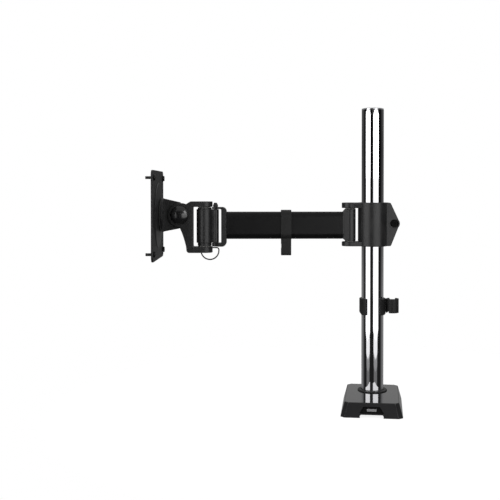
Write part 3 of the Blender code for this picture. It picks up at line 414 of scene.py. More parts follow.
class Plane(Enum):
    """The plane that an outline is drawn on, and with it the way it is pushed out."""

    FLOOR = "XY"
    SIDE = "XZ"
    END = "YZ"

    def matrix(self) -> Matrix:
        """Matrix from the outline's own axes to the object's."""
        rows = {"XY": ((1, 0, 0), (0, 1, 0), (0, 0, 1)), "XZ": ((1, 0, 0), (0, 0, 1), (0, 1, 0)),
                "YZ": ((0, 0, 1), (1, 0, 0), (0, 1, 0))}[self.value]
        return Matrix(rows).to_4x4()


class Axis(Enum):
    """The way that a turned shape's own height points."""

    X = "X"
    Y = "Y"
    Z = "Z"

    def matrix(self) -> Matrix:
        """Matrix that lays a shape turned about Z along this axis."""
        return {"Z": Matrix(), "X": Matrix.Rotation(math.pi / 2, 4, "Y"),
                "Y": Matrix.Rotation(-math.pi / 2, 4, "X")}[self.value]


class Solid:
    """A closed shape being worked with bmesh operators."""

    def __init__(self, bm: bmesh.types.BMesh) -> None:
        self.bm = bm

    @classmethod
    def slab(cls, outline: Sequence[Point], low: float, high: float, plane: Plane = Plane.FLOOR,
             rim: float = 0.0, segments: int = 3) -> "Solid":
        """Push a flat outline out to a thickness.

        Args:
            outline: the points round it.
            low: where the thickness begins, across the plane.
            high: where it ends.
            plane: the plane the outline is drawn on.
            rim: how far the edges of both faces are rounded.
            segments: facets of that rounding.

        Returns:
            The new shape.
        """
        bm = bmesh.new()
        face = bm.faces.new([bm.verts.new((u, v, low)) for u, v in outline])
        grown = bmesh.ops.extrude_face_region(bm, geom=[face], use_keep_orig=True)["geom"]
        moved = [g for g in grown if isinstance(g, bmesh.types.BMVert)]
        bmesh.ops.translate(bm, verts=moved, vec=(0, 0, high - low))
        if rim > 0:
            level = [e for e in bm.edges if abs(e.verts[0].co.z - e.verts[1].co.z) < MERGE]
            bmesh.ops.bevel(bm, geom=level, offset=rim, segments=segments, profile=0.5, affect="EDGES",
                            clamp_overlap=True, material=-1)
        bm.transform(plane.matrix())
        return cls(bm).tidied()

    @classmethod
    def turned(cls, profile: Sequence[Point], origin: Triple = (0, 0, 0), axis: Axis = Axis.Z,
               steps: int = 96) -> "Solid":
        """Spin a profile.

        Args:
            profile: (radius, height) points; one that starts on the axis ends on it, and any other is closed.
            origin: where its axis and height 0 lie.
            axis: the way its height points.
            steps: how many facets it has round.

        Returns:
            The new shape.
        """
        bm = bmesh.new()
        verts = [bm.verts.new((radius, 0.0, height)) for radius, height in profile]
        pairs = list(zip(verts, verts[1:]))
        if profile[0][0] > 0:
            pairs.append((verts[-1], verts[0]))
        edges = [bm.edges.new(pair) for pair in pairs]
        bmesh.ops.spin(bm, geom=verts + edges, cent=(0, 0, 0), axis=(0, 0, 1), angle=2 * math.pi, steps=steps,
                       use_merge=True, use_duplicate=False)
        bm.transform(Matrix.Translation(origin) @ axis.matrix())
        return cls(bm).tidied()

    @classmethod
    def rod(cls, radius: float, low: float, high: float, origin: Triple = (0, 0, 0), axis: Axis = Axis.Z,
            steps: int = 64, rim: float = 0.0) -> "Solid":
        """A cylinder from low to high along its axis, with its rims rounded by rim."""
        if rim > 0:
            profile = [(0, high), (radius, high, rim), (radius, low, rim), (0, low)]
            corners = [(*p, 0.0) if len(p) == 2 else p for p in profile]
            return cls.turned(fillet(corners, closed=False, steps=4), origin, axis, steps)
        bm = bmesh.new()
        bmesh.ops.create_cone(bm, cap_ends=True, segments=steps, radius1=radius, radius2=radius,
                              depth=high - low, matrix=Matrix.Translation((0, 0, (low + high) / 2)))
        bm.transform(Matrix.Translation(origin) @ axis.matrix())
        return cls(bm)

    @classmethod
    def ring(cls, outer: float, inner: float, low: float, high: float, origin: Triple = (0, 0, 0),
             axis: Axis = Axis.Z, rim: float = 0.0, steps: int = 96) -> "Solid":
        """A flat ring with its outer rims rounded by rim."""
        profile = fillet([(outer, high, rim), (outer, low, rim), (inner, low, rim / 2), (inner, high, rim / 2)],
                         steps=3)
        return cls.turned(profile, origin, axis, steps)

    @classmethod
    def block(cls, low: Triple, high: Triple, rim: float = 0.0) -> "Solid":
        """A box between two corners with its edges rounded by rim."""
        bottom, top = Vector(low), Vector(high)
        bm = bmesh.new()
        bmesh.ops.create_cube(bm, size=1.0)
        bm.transform(Matrix.Translation((bottom + top) / 2) @ Matrix.Diagonal((*(top - bottom), 1.0)))
        if rim > 0:
            bmesh.ops.bevel(bm, geom=list(bm.edges), offset=rim, segments=3, profile=0.5, affect="EDGES",
                            material=-1)
        return cls(bm)

    def tidied(self) -> "Solid":
        """Merge doubled points, drop empty faces and turn every face outwards."""
        bmesh.ops.remove_doubles(self.bm, verts=self.bm.verts, dist=MERGE)
        bmesh.ops.dissolve_degenerate(self.bm, edges=self.bm.edges, dist=MERGE / 2)
        bmesh.ops.recalc_face_normals(self.bm, faces=self.bm.faces)
        return self

    def mesh(self, name: str) -> bpy.types.Mesh:
        """Give the shape up as a mesh."""
        made = bpy.data.meshes.new(name)
        self.bm.to_mesh(made)
        self.bm.free()
        return made

    def helper(self, name: str) -> bpy.types.Object:
        """Give the shape up as a helper object in the scene."""
        item = bpy.data.objects.new(name, self.mesh(name))
        bpy.context.scene.collection.objects.link(item)
        return item

    def modified(self, kind: str, **settings: object) -> "Solid":
        """Run the shape through one modifier.

        Args:
            kind: Blender's type name of the modifier.
            settings: attributes of the modifier.

        Returns:
            This shape, with the modifier's result in it.
        """
        item = self.helper("worked")
        modifier = item.modifiers.new("step", kind)
        for name, value in settings.items():
            setattr(modifier, name, value)
        bpy.context.view_layer.update()
        graph = bpy.context.evaluated_depsgraph_get()
        mesh = bpy.data.meshes.new_from_object(item.evaluated_get(graph))
        bpy.data.objects.remove(item, do_unlink=True)
        self.bm = bmesh.new()
        self.bm.from_mesh(mesh)
        bpy.data.meshes.remove(mesh)
        return self

    def combined(self, operation: str, others: Iterable["Solid"]) -> "Solid":
        """Cut, join or intersect the shape with each of several others."""
        for other in others:
            tool = other.helper("tool")
            self.modified("BOOLEAN", operation=operation, solver="EXACT", object=tool)
            bpy.data.objects.remove(tool, do_unlink=True)
        return self

    def cut(self, *others: "Solid") -> "Solid":
        """Take other shapes out of this one."""
        return self.combined("DIFFERENCE", others)

    def join(self, *others: "Solid") -> "Solid":
        """Grow this shape by others."""
        return self.combined("UNION", others)

    def keep(self, other: "Solid") -> "Solid":
        """Keep only what lies inside another shape."""
        return self.combined("INTERSECT", [other])

    def softened(self, width: float, angle: float = 40.0, segments: int = 2) -> "Solid":
        """Round the edges that are sharper than an angle in degrees."""
        bmesh.ops.remove_doubles(self.bm, verts=self.bm.verts, dist=MERGE * 2)
        bmesh.ops.dissolve_limit(self.bm, angle_limit=math.radians(0.4), verts=self.bm.verts,
                                 edges=self.bm.edges)
        return self.modified("BEVEL", width=width, segments=segments, limit_method="ANGLE",
                             angle_limit=math.radians(angle), use_clamp_overlap=True, profile=0.5)

    def moved(self, matrix: Matrix) -> "Solid":
        """Move the shape by a matrix."""
        self.bm.transform(matrix)
        return self

    def copy(self) -> "Solid":
        """A second shape like this one."""
        return Solid(self.bm.copy())


# ---------------------------------------------------------------- the bench

class Bench:
    """Where shapes become finished pieces: it names, dresses and hangs them."""

    def __init__(self, effects: Effects) -> None:
        self.materials = {finish.slot: finish.material(effects) for finish in FINISHES}
        self.cap_black = CAP_FINISH.material(effects)
        # darker copy of the matt black that paints shade into the window recess and the pinch bolt's pocket
        self.painted_shade_black = SHADE_PAINTED_FINISH.material(effects)
        self.pieces: list[bpy.types.Object] = []
        self.turn = self.arm_turn()

    @staticmethod
    def arm_turn() -> Matrix:
        """Turn of the arm's own frame about the pole, from the way its clip slides."""
        slide = next(joint for joint in frame["joints"] if joint["name"] == "arm_clip_slide")
        return Matrix.Rotation(math.atan2(slide["axis"][1], slide["axis"][0]), 4, "Z")

    def finish(self, name: str, solid: Solid, slot: str, body: str, nodes: Sequence[str],
               on_arm: bool = True, crease: float = 32.0,
               look: bpy.types.Material | None = None) -> bpy.types.Object:
        """Turn a shape into a finished piece.

        Args:
            name: the piece's name.
            solid: its shape.
            slot: the record's material slot that it takes its finish from.
            body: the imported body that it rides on.
            nodes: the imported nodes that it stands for.
            on_arm: whether it was drawn in the arm's own frame.
            crease: the angle in degrees from which an edge is shaded sharp.
            look: a variant of the slot's finish to wear instead of the usual one.

        Returns:
            The piece.
        """
        if on_arm:
            solid.moved(self.turn)
        bmesh.ops.remove_doubles(solid.bm, verts=solid.bm.verts, dist=MERGE)
        mesh = solid.mesh(name)
        mesh.shade_smooth()
        mesh.set_sharp_from_angle(angle=math.radians(crease))
        mesh.materials.clear()
        mesh.materials.append(look or self.materials[slot])
        mesh.polygons.foreach_set("material_index", [0] * len(mesh.polygons))
        piece = bpy.data.objects.new(name, mesh)
        bpy.context.scene.collection.objects.link(piece)
        weighted = piece.modifiers.new("even_shading", "WEIGHTED_NORMAL")
        weighted.keep_sharp = True
        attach(piece, body)
        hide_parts(*nodes)
        self.pieces.append(piece)
        log.info("%s: %d faces on %s", name, len(mesh.polygons), body)
        return piece

    def dress_nodes(self) -> None:
        """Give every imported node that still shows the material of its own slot."""
        for part in frame["record"]["subparts"]:
            node = frame["nodes"][part["node"]]
            if node.hide_render:
                continue
            if not node.material_slots:
                node.data.materials.append(None)
            for slot in node.material_slots:
                slot.material = self.materials[part["material_slot"]]
            log.info("%s keeps its packed shape", part["node"])


# ---------------------------------------------------------------- base and pole

@dataclass
class Base:
    """Glossy tapered cover with its front window, dark panel and light insert."""

    flare: float = 5.05 * MM
    corner: float = 5.0 * MM
    wall: float = 2.5 * MM
    notch_half: float = 15.2 * MM
    notch_height: float = 4.3 * MM
    window_low: float = 5.8 * MM
    window_high: float = 14.2 * MM
    window_half_low: float = 16.0 * MM
    window_half_high: float = 10.8 * MM
    insert_half: Point = (6.2 * MM, 1.65 * MM)
    insert_z: float = 10.4 * MM
    bore: float = 15.5 * MM
    low: Vector = field(init=False)
    high: Vector = field(init=False)

    def __post_init__(self) -> None:
        """Take the foot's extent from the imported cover."""
        self.low, self.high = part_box("base_cover")

    def slope(self) -> Matrix:
        """Frame on the front skirt: X across, Y up the slope, Z out of it."""
        lean = math.atan2(self.high.z, self.flare)
        return Matrix.Translation((0, self.low.y, 0)) @ Matrix.Rotation(lean, 4, "X")

    def cover(self) -> Solid:
        """Shell with chamfered corners, rounded top rim, window, cable notch and bore for the pole."""
        bm = bmesh.new()
        bmesh.ops.create_cube(bm, size=1.0)
        for vert in bm.verts:
            inset = self.flare if vert.co.z > 0 else 0.0
            vert.co = (self.high.x - inset if vert.co.x > 0 else self.low.x + inset,
                       self.high.y - inset if vert.co.y > 0 else self.low.y + inset,
                       self.high.z if vert.co.z > 0 else self.low.z)
        floor = [f for f in bm.faces if all(v.co.z < self.low.z + MERGE for v in f.verts)]
        bmesh.ops.delete(bm, geom=floor, context="FACES")
        upright = [e for e in bm.edges if abs(e.verts[0].co.z - e.verts[1].co.z) > MM]
        bmesh.ops.bevel(bm, geom=upright, offset=self.corner, segments=1, profile=0.5, affect="EDGES",
                        material=-1)
        upright = [e for e in bm.edges if abs(e.verts[0].co.z - e.verts[1].co.z) > MM]
        bmesh.ops.bevel(bm, geom=upright, offset=0.9 * MM, segments=3, profile=0.5, affect="EDGES", material=-1)
        rim = [e for e in bm.edges if all(v.co.z > self.high.z - MERGE for v in e.verts)]
        bmesh.ops.bevel(bm, geom=rim, offset=0.9 * MM, segments=4, profile=0.5, affect="EDGES", material=-1)
        shell = Solid(bm).tidied()
        shell.modified("SOLIDIFY", thickness=self.wall, offset=-1.0, use_even_offset=True)
        front = (self.low.y - MM, self.low.y + 3 * self.flare)
        window = fillet([(-self.window_half_low, self.window_low, 0.6 * MM),
                         (self.window_half_low, self.window_low, 0.6 * MM),
                         (self.window_half_high, self.window_high, 0.9 * MM),
                         (-self.window_half_high, self.window_high, 0.9 * MM)], steps=3)
        slant = 1.4 * MM
        notch = [(-self.notch_half, -slant), (self.notch_half, -slant),
                 (self.notch_half, self.notch_height - slant), (self.notch_half - slant, self.notch_height),
                 (slant - self.notch_half, self.notch_height), (-self.notch_half, self.notch_height - slant)]
        reach = 2 * self.low.y
        under = Solid.block((reach, reach, -2 * self.wall), (-reach, -reach, self.low.z))
        shell.cut(under, Solid.rod(self.bore, 0.0, self.high.z + self.wall, steps=96),
                  Solid.slab(window, *front, Plane.SIDE), Solid.slab(notch, *front, Plane.SIDE))
        return shell.softened(0.25 * MM, 50.0)

    def panel(self) -> Solid:
        """Dark panel behind the window, with a raised frame round the insert and a lip along its foot."""
        behind = -(self.wall + CLEAR)
        lap = 1.6 * MM
        plate = Solid.slab([(-self.window_half_low - lap, self.window_low),
                            (self.window_half_low + lap, self.window_low),
                            (self.window_half_high + lap, self.window_high + lap),
                            (-self.window_half_high - lap, self.window_high + lap)], behind - 2 * MM, behind)
        half_u, half_v = self.insert_half
        border = 0.9 * MM
        bezel = Solid.slab(rectangle((0, self.insert_z), half_u + border, half_v + border, 1.2 * MM),
                           behind - MM, behind + 0.7 * MM, rim=0.25 * MM)
        hole = Solid.slab(rectangle((0, self.insert_z), half_u + 0.15 * MM, half_v + 0.15 * MM, 0.9 * MM),
                          behind + 0.05 * MM, behind + 2 * MM)
        lip = Solid.slab(rectangle((0, self.window_low + 0.75 * MM), self.window_half_low - MM, 0.3 * MM,
                                   0.25 * MM, 3), behind - MM, behind + 1.5 * MM, rim=0.2 * MM)
        return plate.join(bezel, lip).cut(hole).moved(self.slope())

    def insert(self) -> Solid:
        """Blank light insert with a shallow sunk middle."""
        behind = -(self.wall + CLEAR)
        half_u, half_v = self.insert_half
        body = Solid.slab(rectangle((0, self.insert_z), half_u, half_v, 0.8 * MM), behind + 0.1 * MM,
                          behind + 1.1 * MM, rim=0.2 * MM)
        sunk = Solid.slab(rectangle((0, self.insert_z), half_u - 0.7 * MM, half_v - 0.6 * MM, 0.4 * MM),
                          behind + 0.95 * MM, behind + 2 * MM)
        return body.cut(sunk).moved(self.slope())

    def build(self, bench: Bench) -> None:
        """Make and hang the base's visible pieces."""
        bench.finish("tapered_base_shell", self.cover(), "gloss_black", "base", ["base_cover"], on_arm=False)
        # the panel is a black moulding, darkened further here with painted shade for the inside of the window recess
        bench.finish("window_panel", self.panel(), "matt_black", "base", ["front_panel"], on_arm=False,
                     look=bench.painted_shade_black)
        bench.finish("blank_insert", self.insert(), "light_insert", "base", ["front_insert"], on_arm=False)
        pad_low, pad_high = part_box("desk_pad")
        centre = ((pad_low.x + pad_high.x) / 2, (pad_low.y + pad_high.y) / 2)
        pad = Solid.slab(rectangle(centre, (pad_high.x - pad_low.x) / 2, (pad_high.y - pad_low.y) / 2, 4 * MM),
                         pad_low.z, pad_high.z, rim=0.25 * MM)
        holes = [Solid.rod(3.5 * MM, -MM, 3 * MM, (x, y, 0), steps=40)
                 for x in (-28 * MM, 28 * MM) for y in (-43 * MM, 28 * MM)]
        holes += [Solid.rod(3.5 * MM, -MM, 3 * MM, (x, y, 0), steps=40)
                  for x in (-20 * MM, 20 * MM) for y in (-30 * MM, 26 * MM)]
        bench.finish("foam_foot", pad.cut(*holes), "pad_rubber", "base", ["desk_pad"], on_arm=False)


@dataclass
class Pole:
    """Chrome tube, its cap, the ring at its foot and the cable clip part way up."""

    radius: float = 15.0 * MM
    wall: float = 1.8 * MM
    grip_radius: float = 17.9 * MM
    cup_centre: Point = (26.9 * MM, -1.0 * MM)
    cup_radius: float = 8.7 * MM
    cup_bore: float = 6.7 * MM

    def tube(self) -> Solid:
        """Tube with rounded rims."""
        low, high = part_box("pole")
        return Solid.ring(self.radius, self.radius - self.wall, low.z, high.z, rim=0.4 * MM, steps=160)

    def cap(self) -> Solid:
        """Low crowned cap whose skirt sits in the tube."""
        low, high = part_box("pole_top_cap")
        _, tube_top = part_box("pole")
        lip, bore = tube_top.z + CLEAR, self.radius - self.wall - CLEAR
        profile = fillet([(0, high.z, 0), (self.radius, high.z, 1.3 * MM), (self.radius, lip, 0.2 * MM),
                          (bore, lip, 0), (bore, low.z, 0.5 * MM), (0, low.z, 0)], closed=False)
        return Solid.turned(profile, steps=160)

    def foot_ring(self) -> Solid:
        """Moulded ring with a rounded shoulder."""
        low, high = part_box("foot_ring")
        inner = self.radius + 0.4 * MM
        profile = fillet([(high.x, low.z, 0), (inner, low.z, 0), (inner, high.z, 0.2 * MM),
                          (high.x - 0.6 * MM, high.z, 0.5 * MM), (high.x, low.z + 0.5 * MM, 0.2 * MM)])
        return Solid.turned(profile, steps=160)

    def clip(self) -> Solid:
        """Spring grip round the pole, open at the front, with an open cup for cables beside it."""
        low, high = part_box("pole_cable_clip")
        grip = arc((0, 0), self.grip_radius, -53, 239.6, 72) + arc((0, 0), self.radius + CLEAR, 239.6, -53, 72)
        body = Solid.slab(grip, low.z, high.z, rim=0.45 * MM, segments=2)
        cup_low, cup_high = low.z + 2.6 * MM, high.z - 0.1 * MM
        inner = self.cup_centre[0] - self.cup_bore
        neck = Solid.block((self.grip_radius - 1.4 * MM, -3.2 * MM, cup_low + 1.2 * MM),
                           (inner - 0.5 * MM, 2.6 * MM, cup_high - 0.6 * MM), rim=0.5 * MM)
        band = arc(self.cup_centre, self.cup_radius, 122, 418, 56)
        band += arc(self.cup_centre, self.cup_bore, 418, 122, 56)
        cup = Solid.slab(band, cup_low, cup_high, rim=0.45 * MM, segments=2)
        body.join(neck, cup)
        left = [(-20 * MM, 121 * MM), (-12.6 * MM, 121 * MM), (-20 * MM, 129 * MM)]
        right = [(14 * MM, 121 * MM), (22 * MM, 121 * MM), (22 * MM, 128.2 * MM)]
        across = (-20 * MM, 20 * MM)
        return body.cut(Solid.slab(left, *across, Plane.SIDE), Solid.slab(right, *across, Plane.SIDE))

    def build(self, bench: Bench) -> None:
        """Make and hang the pole's pieces."""
        bench.finish("chromed_pole", self.tube(), "chrome", "base", ["pole"], on_arm=False)
        bench.finish("chromed_cap", self.cap(), "chrome", "base", ["pole_top_cap"], on_arm=False)
        bench.finish("foot_trim_ring", self.foot_ring(), "matt_black", "base", ["foot_ring"], on_arm=False)
        bench.finish("pole_wire_clip", self.clip(), "matt_black", "pole_clip", ["pole_cable_clip"], on_arm=False)


# ---------------------------------------------------------------- fasteners

@dataclass(frozen=True)
class CapScrew:
    """Screw or bolt with a turned head and a driving recess."""

    origin: Triple
    axis: Axis
    head_radius: float
    head_low: float
    head_high: float
    shank_radius: float
    tip: float
    socket: float
    sides: int = 6

    def solid(self) -> Solid:
        """Head, shank with a few thread grooves, and the recess in the head's outer face."""
        up = self.tip > self.head_high
        outer, inner = (self.head_low, self.head_high) if up else (self.head_high, self.head_low)
        rim = min(0.5 * MM, (self.head_high - self.head_low) / 3)
        turn = math.copysign(1.0, self.tip - inner)
        length = abs(self.tip - inner)
        profile = [(0, outer, 0), (self.head_radius, outer, rim), (self.head_radius, inner, rim / 3),
                   (self.shank_radius, inner, 0)]
        pitch, depth = 0.8 * MM, 0.25 * MM
        crests = int(length * 0.6 / pitch)
        start = self.tip - turn * (crests * pitch + 0.3 * MM)
        for number in range(crests):
            root = start + turn * number * pitch
            profile += [(self.shank_radius, root, 0), (self.shank_radius - depth, root + turn * pitch / 2, 0)]
        profile += [(self.shank_radius, self.tip - turn * 0.3 * MM, 0),
                    (self.shank_radius - 0.3 * MM, self.tip, 0), (0, self.tip, 0)]
        body = Solid.turned(fillet(profile, closed=False, steps=3), self.origin, self.axis, 48)
        deep = 0.55 * (self.head_high - self.head_low)
        span = sorted((outer - turn * MM, outer + turn * deep))
        if self.sides == 6:
            return body.cut(Solid.rod(self.socket, *span, self.origin, self.axis, 6))
        arm, half = self.socket, self.socket * 0.22
        cross = [Solid.block((-a, -b, span[0]), (a, b, span[1])) for a, b in ((arm, half), (half, arm))]
        place = Matrix.Translation(self.origin) @ self.axis.matrix()
        return body.cut(*[shape.moved(place) for shape in cross])


def hexagon_nut(radius: float, low: float, high: float, bore: float, origin: Triple, axis: Axis) -> Solid:
    """Hexagon nut with its corners turned down at both faces.

    Args:
        radius: distance from its axis to a corner.
        low: its first face along the axis.
        high: its second face.
        bore: radius of its hole.
        origin: a point on its axis.
        axis: the way of its axis.

    Returns:
        The nut.
    """
    flat = radius * math.cos(math.pi / 6)
    drop = 0.45 * MM
    cone = Solid.turned(fillet([(0, high, 0), (flat, high, 0), (radius, high - drop, 0), (radius, low + drop, 0),
                                (flat, low, 0), (0, low, 0)], closed=False), origin, axis, 72)
    body = Solid.rod(radius, low, high, origin, axis, 6).keep(cone)
    mouth = Solid.turned([(0, high + MM), (bore + 1.4 * MM, high + MM), (bore, high - 0.4 * MM), (bore, low - MM),
                          (0, low - MM)], origin, axis, 48)
    return body.cut(mouth)


# ---------------------------------------------------------------- collar

@dataclass
class Collar:
    """Split casting on the pole, with two lugs for the arm and two pinched ears."""

    radius: float = 20.0 * MM
    bore: float = 17.0 * MM
    lug_half: float = 11.5 * MM
    lower_lug_top: float = 222.4 * MM
    upper_lug_low: float = 268.0 * MM
    ear_half: float = 8.0 * MM
    pivot_x: float = -30.6 * MM
    pinch: Triple = (28.7 * MM, 0, 247.0 * MM)
    pin: float = 4.3 * MM
    low: float = field(init=False)
    high: float = field(init=False)

    def __post_init__(self) -> None:
        """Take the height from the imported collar."""
        low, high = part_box("collar")
        self.low, self.high = low.z, high.z

    def casting(self) -> Solid:
        """Barrel, lugs and ears with every rim rounded, then all that is bored and split."""
        barrel = Solid.ring(self.radius, self.bore - MM, self.low, self.high, rim=0.9 * MM, steps=128)
        lug = arc((self.pivot_x, 0), self.lug_half, 90, 270, 36)
        lug += [(-10 * MM, -self.lug_half), (-10 * MM, self.lug_half)]
        lip = 0.2 * MM
        ears = fillet([(13 * MM, self.low + lip, 0), (24.0 * MM, self.low + lip, 2.2 * MM),
                       (36.0 * MM, 246.2 * MM, 3.0 * MM), (36.0 * MM, 248.6 * MM, 2.0 * MM),
                       (23.6 * MM, self.high - lip, 3.0 * MM), (13 * MM, self.high - lip, 0)], steps=5)
        ears = [(u, v) for u, v in ears]
        barrel.join(Solid.slab(lug, self.low + lip, self.lower_lug_top, rim=0.7 * MM),
                    Solid.slab(lug, self.upper_lug_low, self.high - lip, rim=0.7 * MM),
                    Solid.slab(ears, -self.ear_half, self.ear_half, Plane.SIDE, rim=0.9 * MM))
        pin = (self.pivot_x, 0, 0)
        below, above = self.low - MM, self.high + MM
        boss = [Solid.rod(7.4 * MM, -self.ear_half - 0.35 * MM, -5 * MM, self.pinch, Axis.Y, 48, rim=0.3 * MM)]
        barrel.join(*boss)
        barrel.cut(Solid.rod(self.bore, below, above, steps=128),
                   Solid.block((12 * MM, -MM, below), (40 * MM, MM, above)),
                   Solid.rod(self.pin, below, above, pin, steps=48),
                   Solid.rod(6.9 * MM, below, self.low + 3.4 * MM, pin),
                   Solid.rod(6.9 * MM, self.high - 3.4 * MM, above, pin),
                   Solid.rod(3.3 * MM, -12 * MM, 12 * MM, self.pinch, Axis.Y, 32),
                   Solid.rod(6.0 * MM, -12 * MM, -4 * MM, self.pinch, Axis.Y, 48),
                   Solid.rod(5.8 * MM, 5 * MM, 12 * MM, self.pinch, Axis.Y, 6))
        return barrel.softened(0.3 * MM, 50.0)

    def build(self, bench: Bench) -> None:
        """Make and hang the collar and its fasteners."""
        bench.finish("cast_collar", self.casting(), "cast_black", "collar", ["collar"])
        bolt = CapScrew(self.pinch, Axis.Y, 5.0 * MM, -6.4 * MM, -4.3 * MM, 3.0 * MM, 10.5 * MM, 2.2 * MM)
        # the pinch bolt wears painted shade instead of its oxide finish, so its pocket in the ear reads as shadowed
        bench.finish("collar_pinch_bolt", bolt.solid(), "black_oxide", "collar", ["pinch_bolt"],
                     look=bench.painted_shade_black)
        nut = hexagon_nut(5.4 * MM, 5.3 * MM, 9.6 * MM, 3.3 * MM, self.pinch, Axis.Y)
        bench.finish("collar_pinch_nut", nut, "black_oxide", "collar", ["pinch_nut"])
        pin = (self.pivot_x, 0, 0)
        bolt = CapScrew(pin, Axis.Z, 6.5 * MM, self.low + 0.3 * MM, self.low + 3.1 * MM, 4.0 * MM,
                        self.high - 1.2 * MM, 2.8 * MM)
        bench.finish("arm_hinge_pin", bolt.solid(), "black_oxide", "collar", ["arm_pivot_pin"])
        nut = Solid.ring(6.5 * MM, self.pin, self.high - 3.1 * MM, self.high - 0.4 * MM, pin, rim=0.4 * MM, steps=72)
        bench.finish("arm_hinge_nut", nut, "black_oxide", "collar", ["arm_pivot_nut"])


# ---------------------------------------------------------------- arm

@dataclass
class Arm:
    """Oval tube between a hinge knuckle and a D-shaped fork, with a cable clip round it."""

    half_y: float = 9.0 * MM
    half_z: float = 18.5 * MM
    mid_z: float = 244.6 * MM
    corner: float = 8.0 * MM
    wall: float = 1.8 * MM
    left: float = -198.7 * MM
    right: float = -42.0 * MM
    knuckle_x: float = -30.6 * MM
    knuckle_radius: float = 7.4 * MM
    knuckle_span: Point = (223.6 * MM, 266.8 * MM)
    fork_x: float = -213.9 * MM
    fork_span: Point = (216.0 * MM, 269.4 * MM)
    fork_slot: Point = (220.8 * MM, 266.8 * MM)
    fork_wall: float = -205.9 * MM
    fork_end: float = -199.0 * MM
    fork_lug: float = 4.9 * MM
    clip_x: Point = (-125.1 * MM, -111.1 * MM)
    clip_wall: float = 2.2 * MM
    clip_low: float = 204.0 * MM

    def section(self, shrink: float = 0.0) -> list[Point]:
        """Section of the tube, drawn smaller by shrink."""
        return rectangle((0, self.mid_z), self.half_y - shrink, self.half_z - shrink,
                         max(self.corner - shrink, MM), steps=14)

    def screw_spots(self) -> list[float]:
        """Where along the tube its end castings are screwed."""
        return [self.right - 15 * MM, self.left + 13 * MM]

    def tube(self) -> Solid:
        """Hollow tube with countersunk holes on its rear side."""
        body = Solid.slab(self.section(), self.left, self.right, Plane.END, rim=0.3 * MM, segments=2)
        body.cut(Solid.slab(self.section(self.wall), self.left - MM, self.right + MM, Plane.END))
        for x in self.screw_spots():
            face, edge = self.half_y - 0.9 * MM, self.half_y + 3 * MM
            body.cut(Solid.turned([(0, edge), (3.1 * MM, edge), (3.1 * MM, face), (1.9 * MM, face), (1.9 * MM, 0),
                                   (0, 0)], (x, 0, self.mid_z), Axis.Y, 48))
        return body

    def knuckle(self) -> Solid:
        """Hinge barrel that flares into the tube's section, with a plug inside the tube."""
        low, high = self.knuckle_span
        pin = (self.knuckle_x, 0, 0)
        bottom, top = self.mid_z - self.half_z + 0.4 * MM, self.mid_z + self.half_z - 0.4 * MM
        flare = fillet([(self.knuckle_x, low + 0.2 * MM, 0), (self.knuckle_x, high - 0.2 * MM, 0),
                        (-37.6 * MM, high - 0.2 * MM, 1.2 * MM), (-41.0 * MM, top, 0), (-41.4 * MM, top, 0),
                        (-41.4 * MM, bottom, 0), (-41.0 * MM, bottom, 0), (-37.6 * MM, low + 0.2 * MM, 1.2 * MM)])
        body = Solid.rod(self.knuckle_radius, low, high, pin, steps=72, rim=0.4 * MM)
        body.join(Solid.slab(flare, -6.6 * MM, 6.6 * MM, Plane.SIDE, rim=0.8 * MM),
                  Solid.slab(self.section(), self.right + CLEAR, -40.2 * MM, Plane.END, rim=0.5 * MM),
                  Solid.slab(self.section(self.wall + CLEAR), self.right - 20 * MM, -41 * MM, Plane.END))
        near = self.screw_spots()[0]
        return body.cut(Solid.rod(4.3 * MM, low - MM, high + MM, pin, steps=48),
                        Solid.rod(1.8 * MM, 0, 12 * MM, (near, 0, self.mid_z), Axis.Y, 24))

    def fork(self) -> Solid:
        """D-shaped fork whose two lugs hold the link's small barrel."""
        low, high = self.fork_span
        round_radius, reach = 6.0 * MM, -222 * MM
        side = fillet([(reach, low, 0), (self.fork_end, low, round_radius), (self.fork_end, high, round_radius),
                       (reach, high, 0)], steps=14)
        body = Solid.slab(side, -12 * MM, 12 * MM, Plane.SIDE)
        wall = self.fork_wall - 0.6 * MM
        plan = arc((self.fork_x, 0), self.fork_lug, 90, 270, 28)
        plan += fillet([(plan[-1][0], -self.fork_lug, 0), (wall - 2.4 * MM, -self.half_y, 2.0 * MM),
                        (-190 * MM, -self.half_y, 0), (-190 * MM, self.half_y, 0),
                        (wall - 2.4 * MM, self.half_y, 2.0 * MM)], closed=False)[1:]
        body.keep(Solid.slab(plan, low - MM, high + MM))
        pin = (self.fork_x, 0, 0)
        slot = rectangle(((self.fork_wall - 240 * MM) / 2, (self.fork_slot[0] + self.fork_slot[1]) / 2),
                         (self.fork_wall + 240 * MM) / 2, (self.fork_slot[1] - self.fork_slot[0]) / 2, 1.5 * MM)
        body.cut(Solid.slab(slot, -14 * MM, 14 * MM, Plane.SIDE),
                 Solid.rod(2.8 * MM, low - MM, high + MM, pin, steps=40),
                 Solid.rod(3.9 * MM, low - MM, low + 2.8 * MM, pin, steps=48))
        body.softened(0.6 * MM, 45.0, 3)
        plug = Solid.slab(self.section(self.wall + CLEAR), self.fork_end - MM, self.left + 20 * MM, Plane.END)
        far = self.screw_spots()[1]
        return body.join(plug).cut(Solid.rod(1.8 * MM, 0, 12 * MM, (far, 0, self.mid_z), Axis.Y, 24))

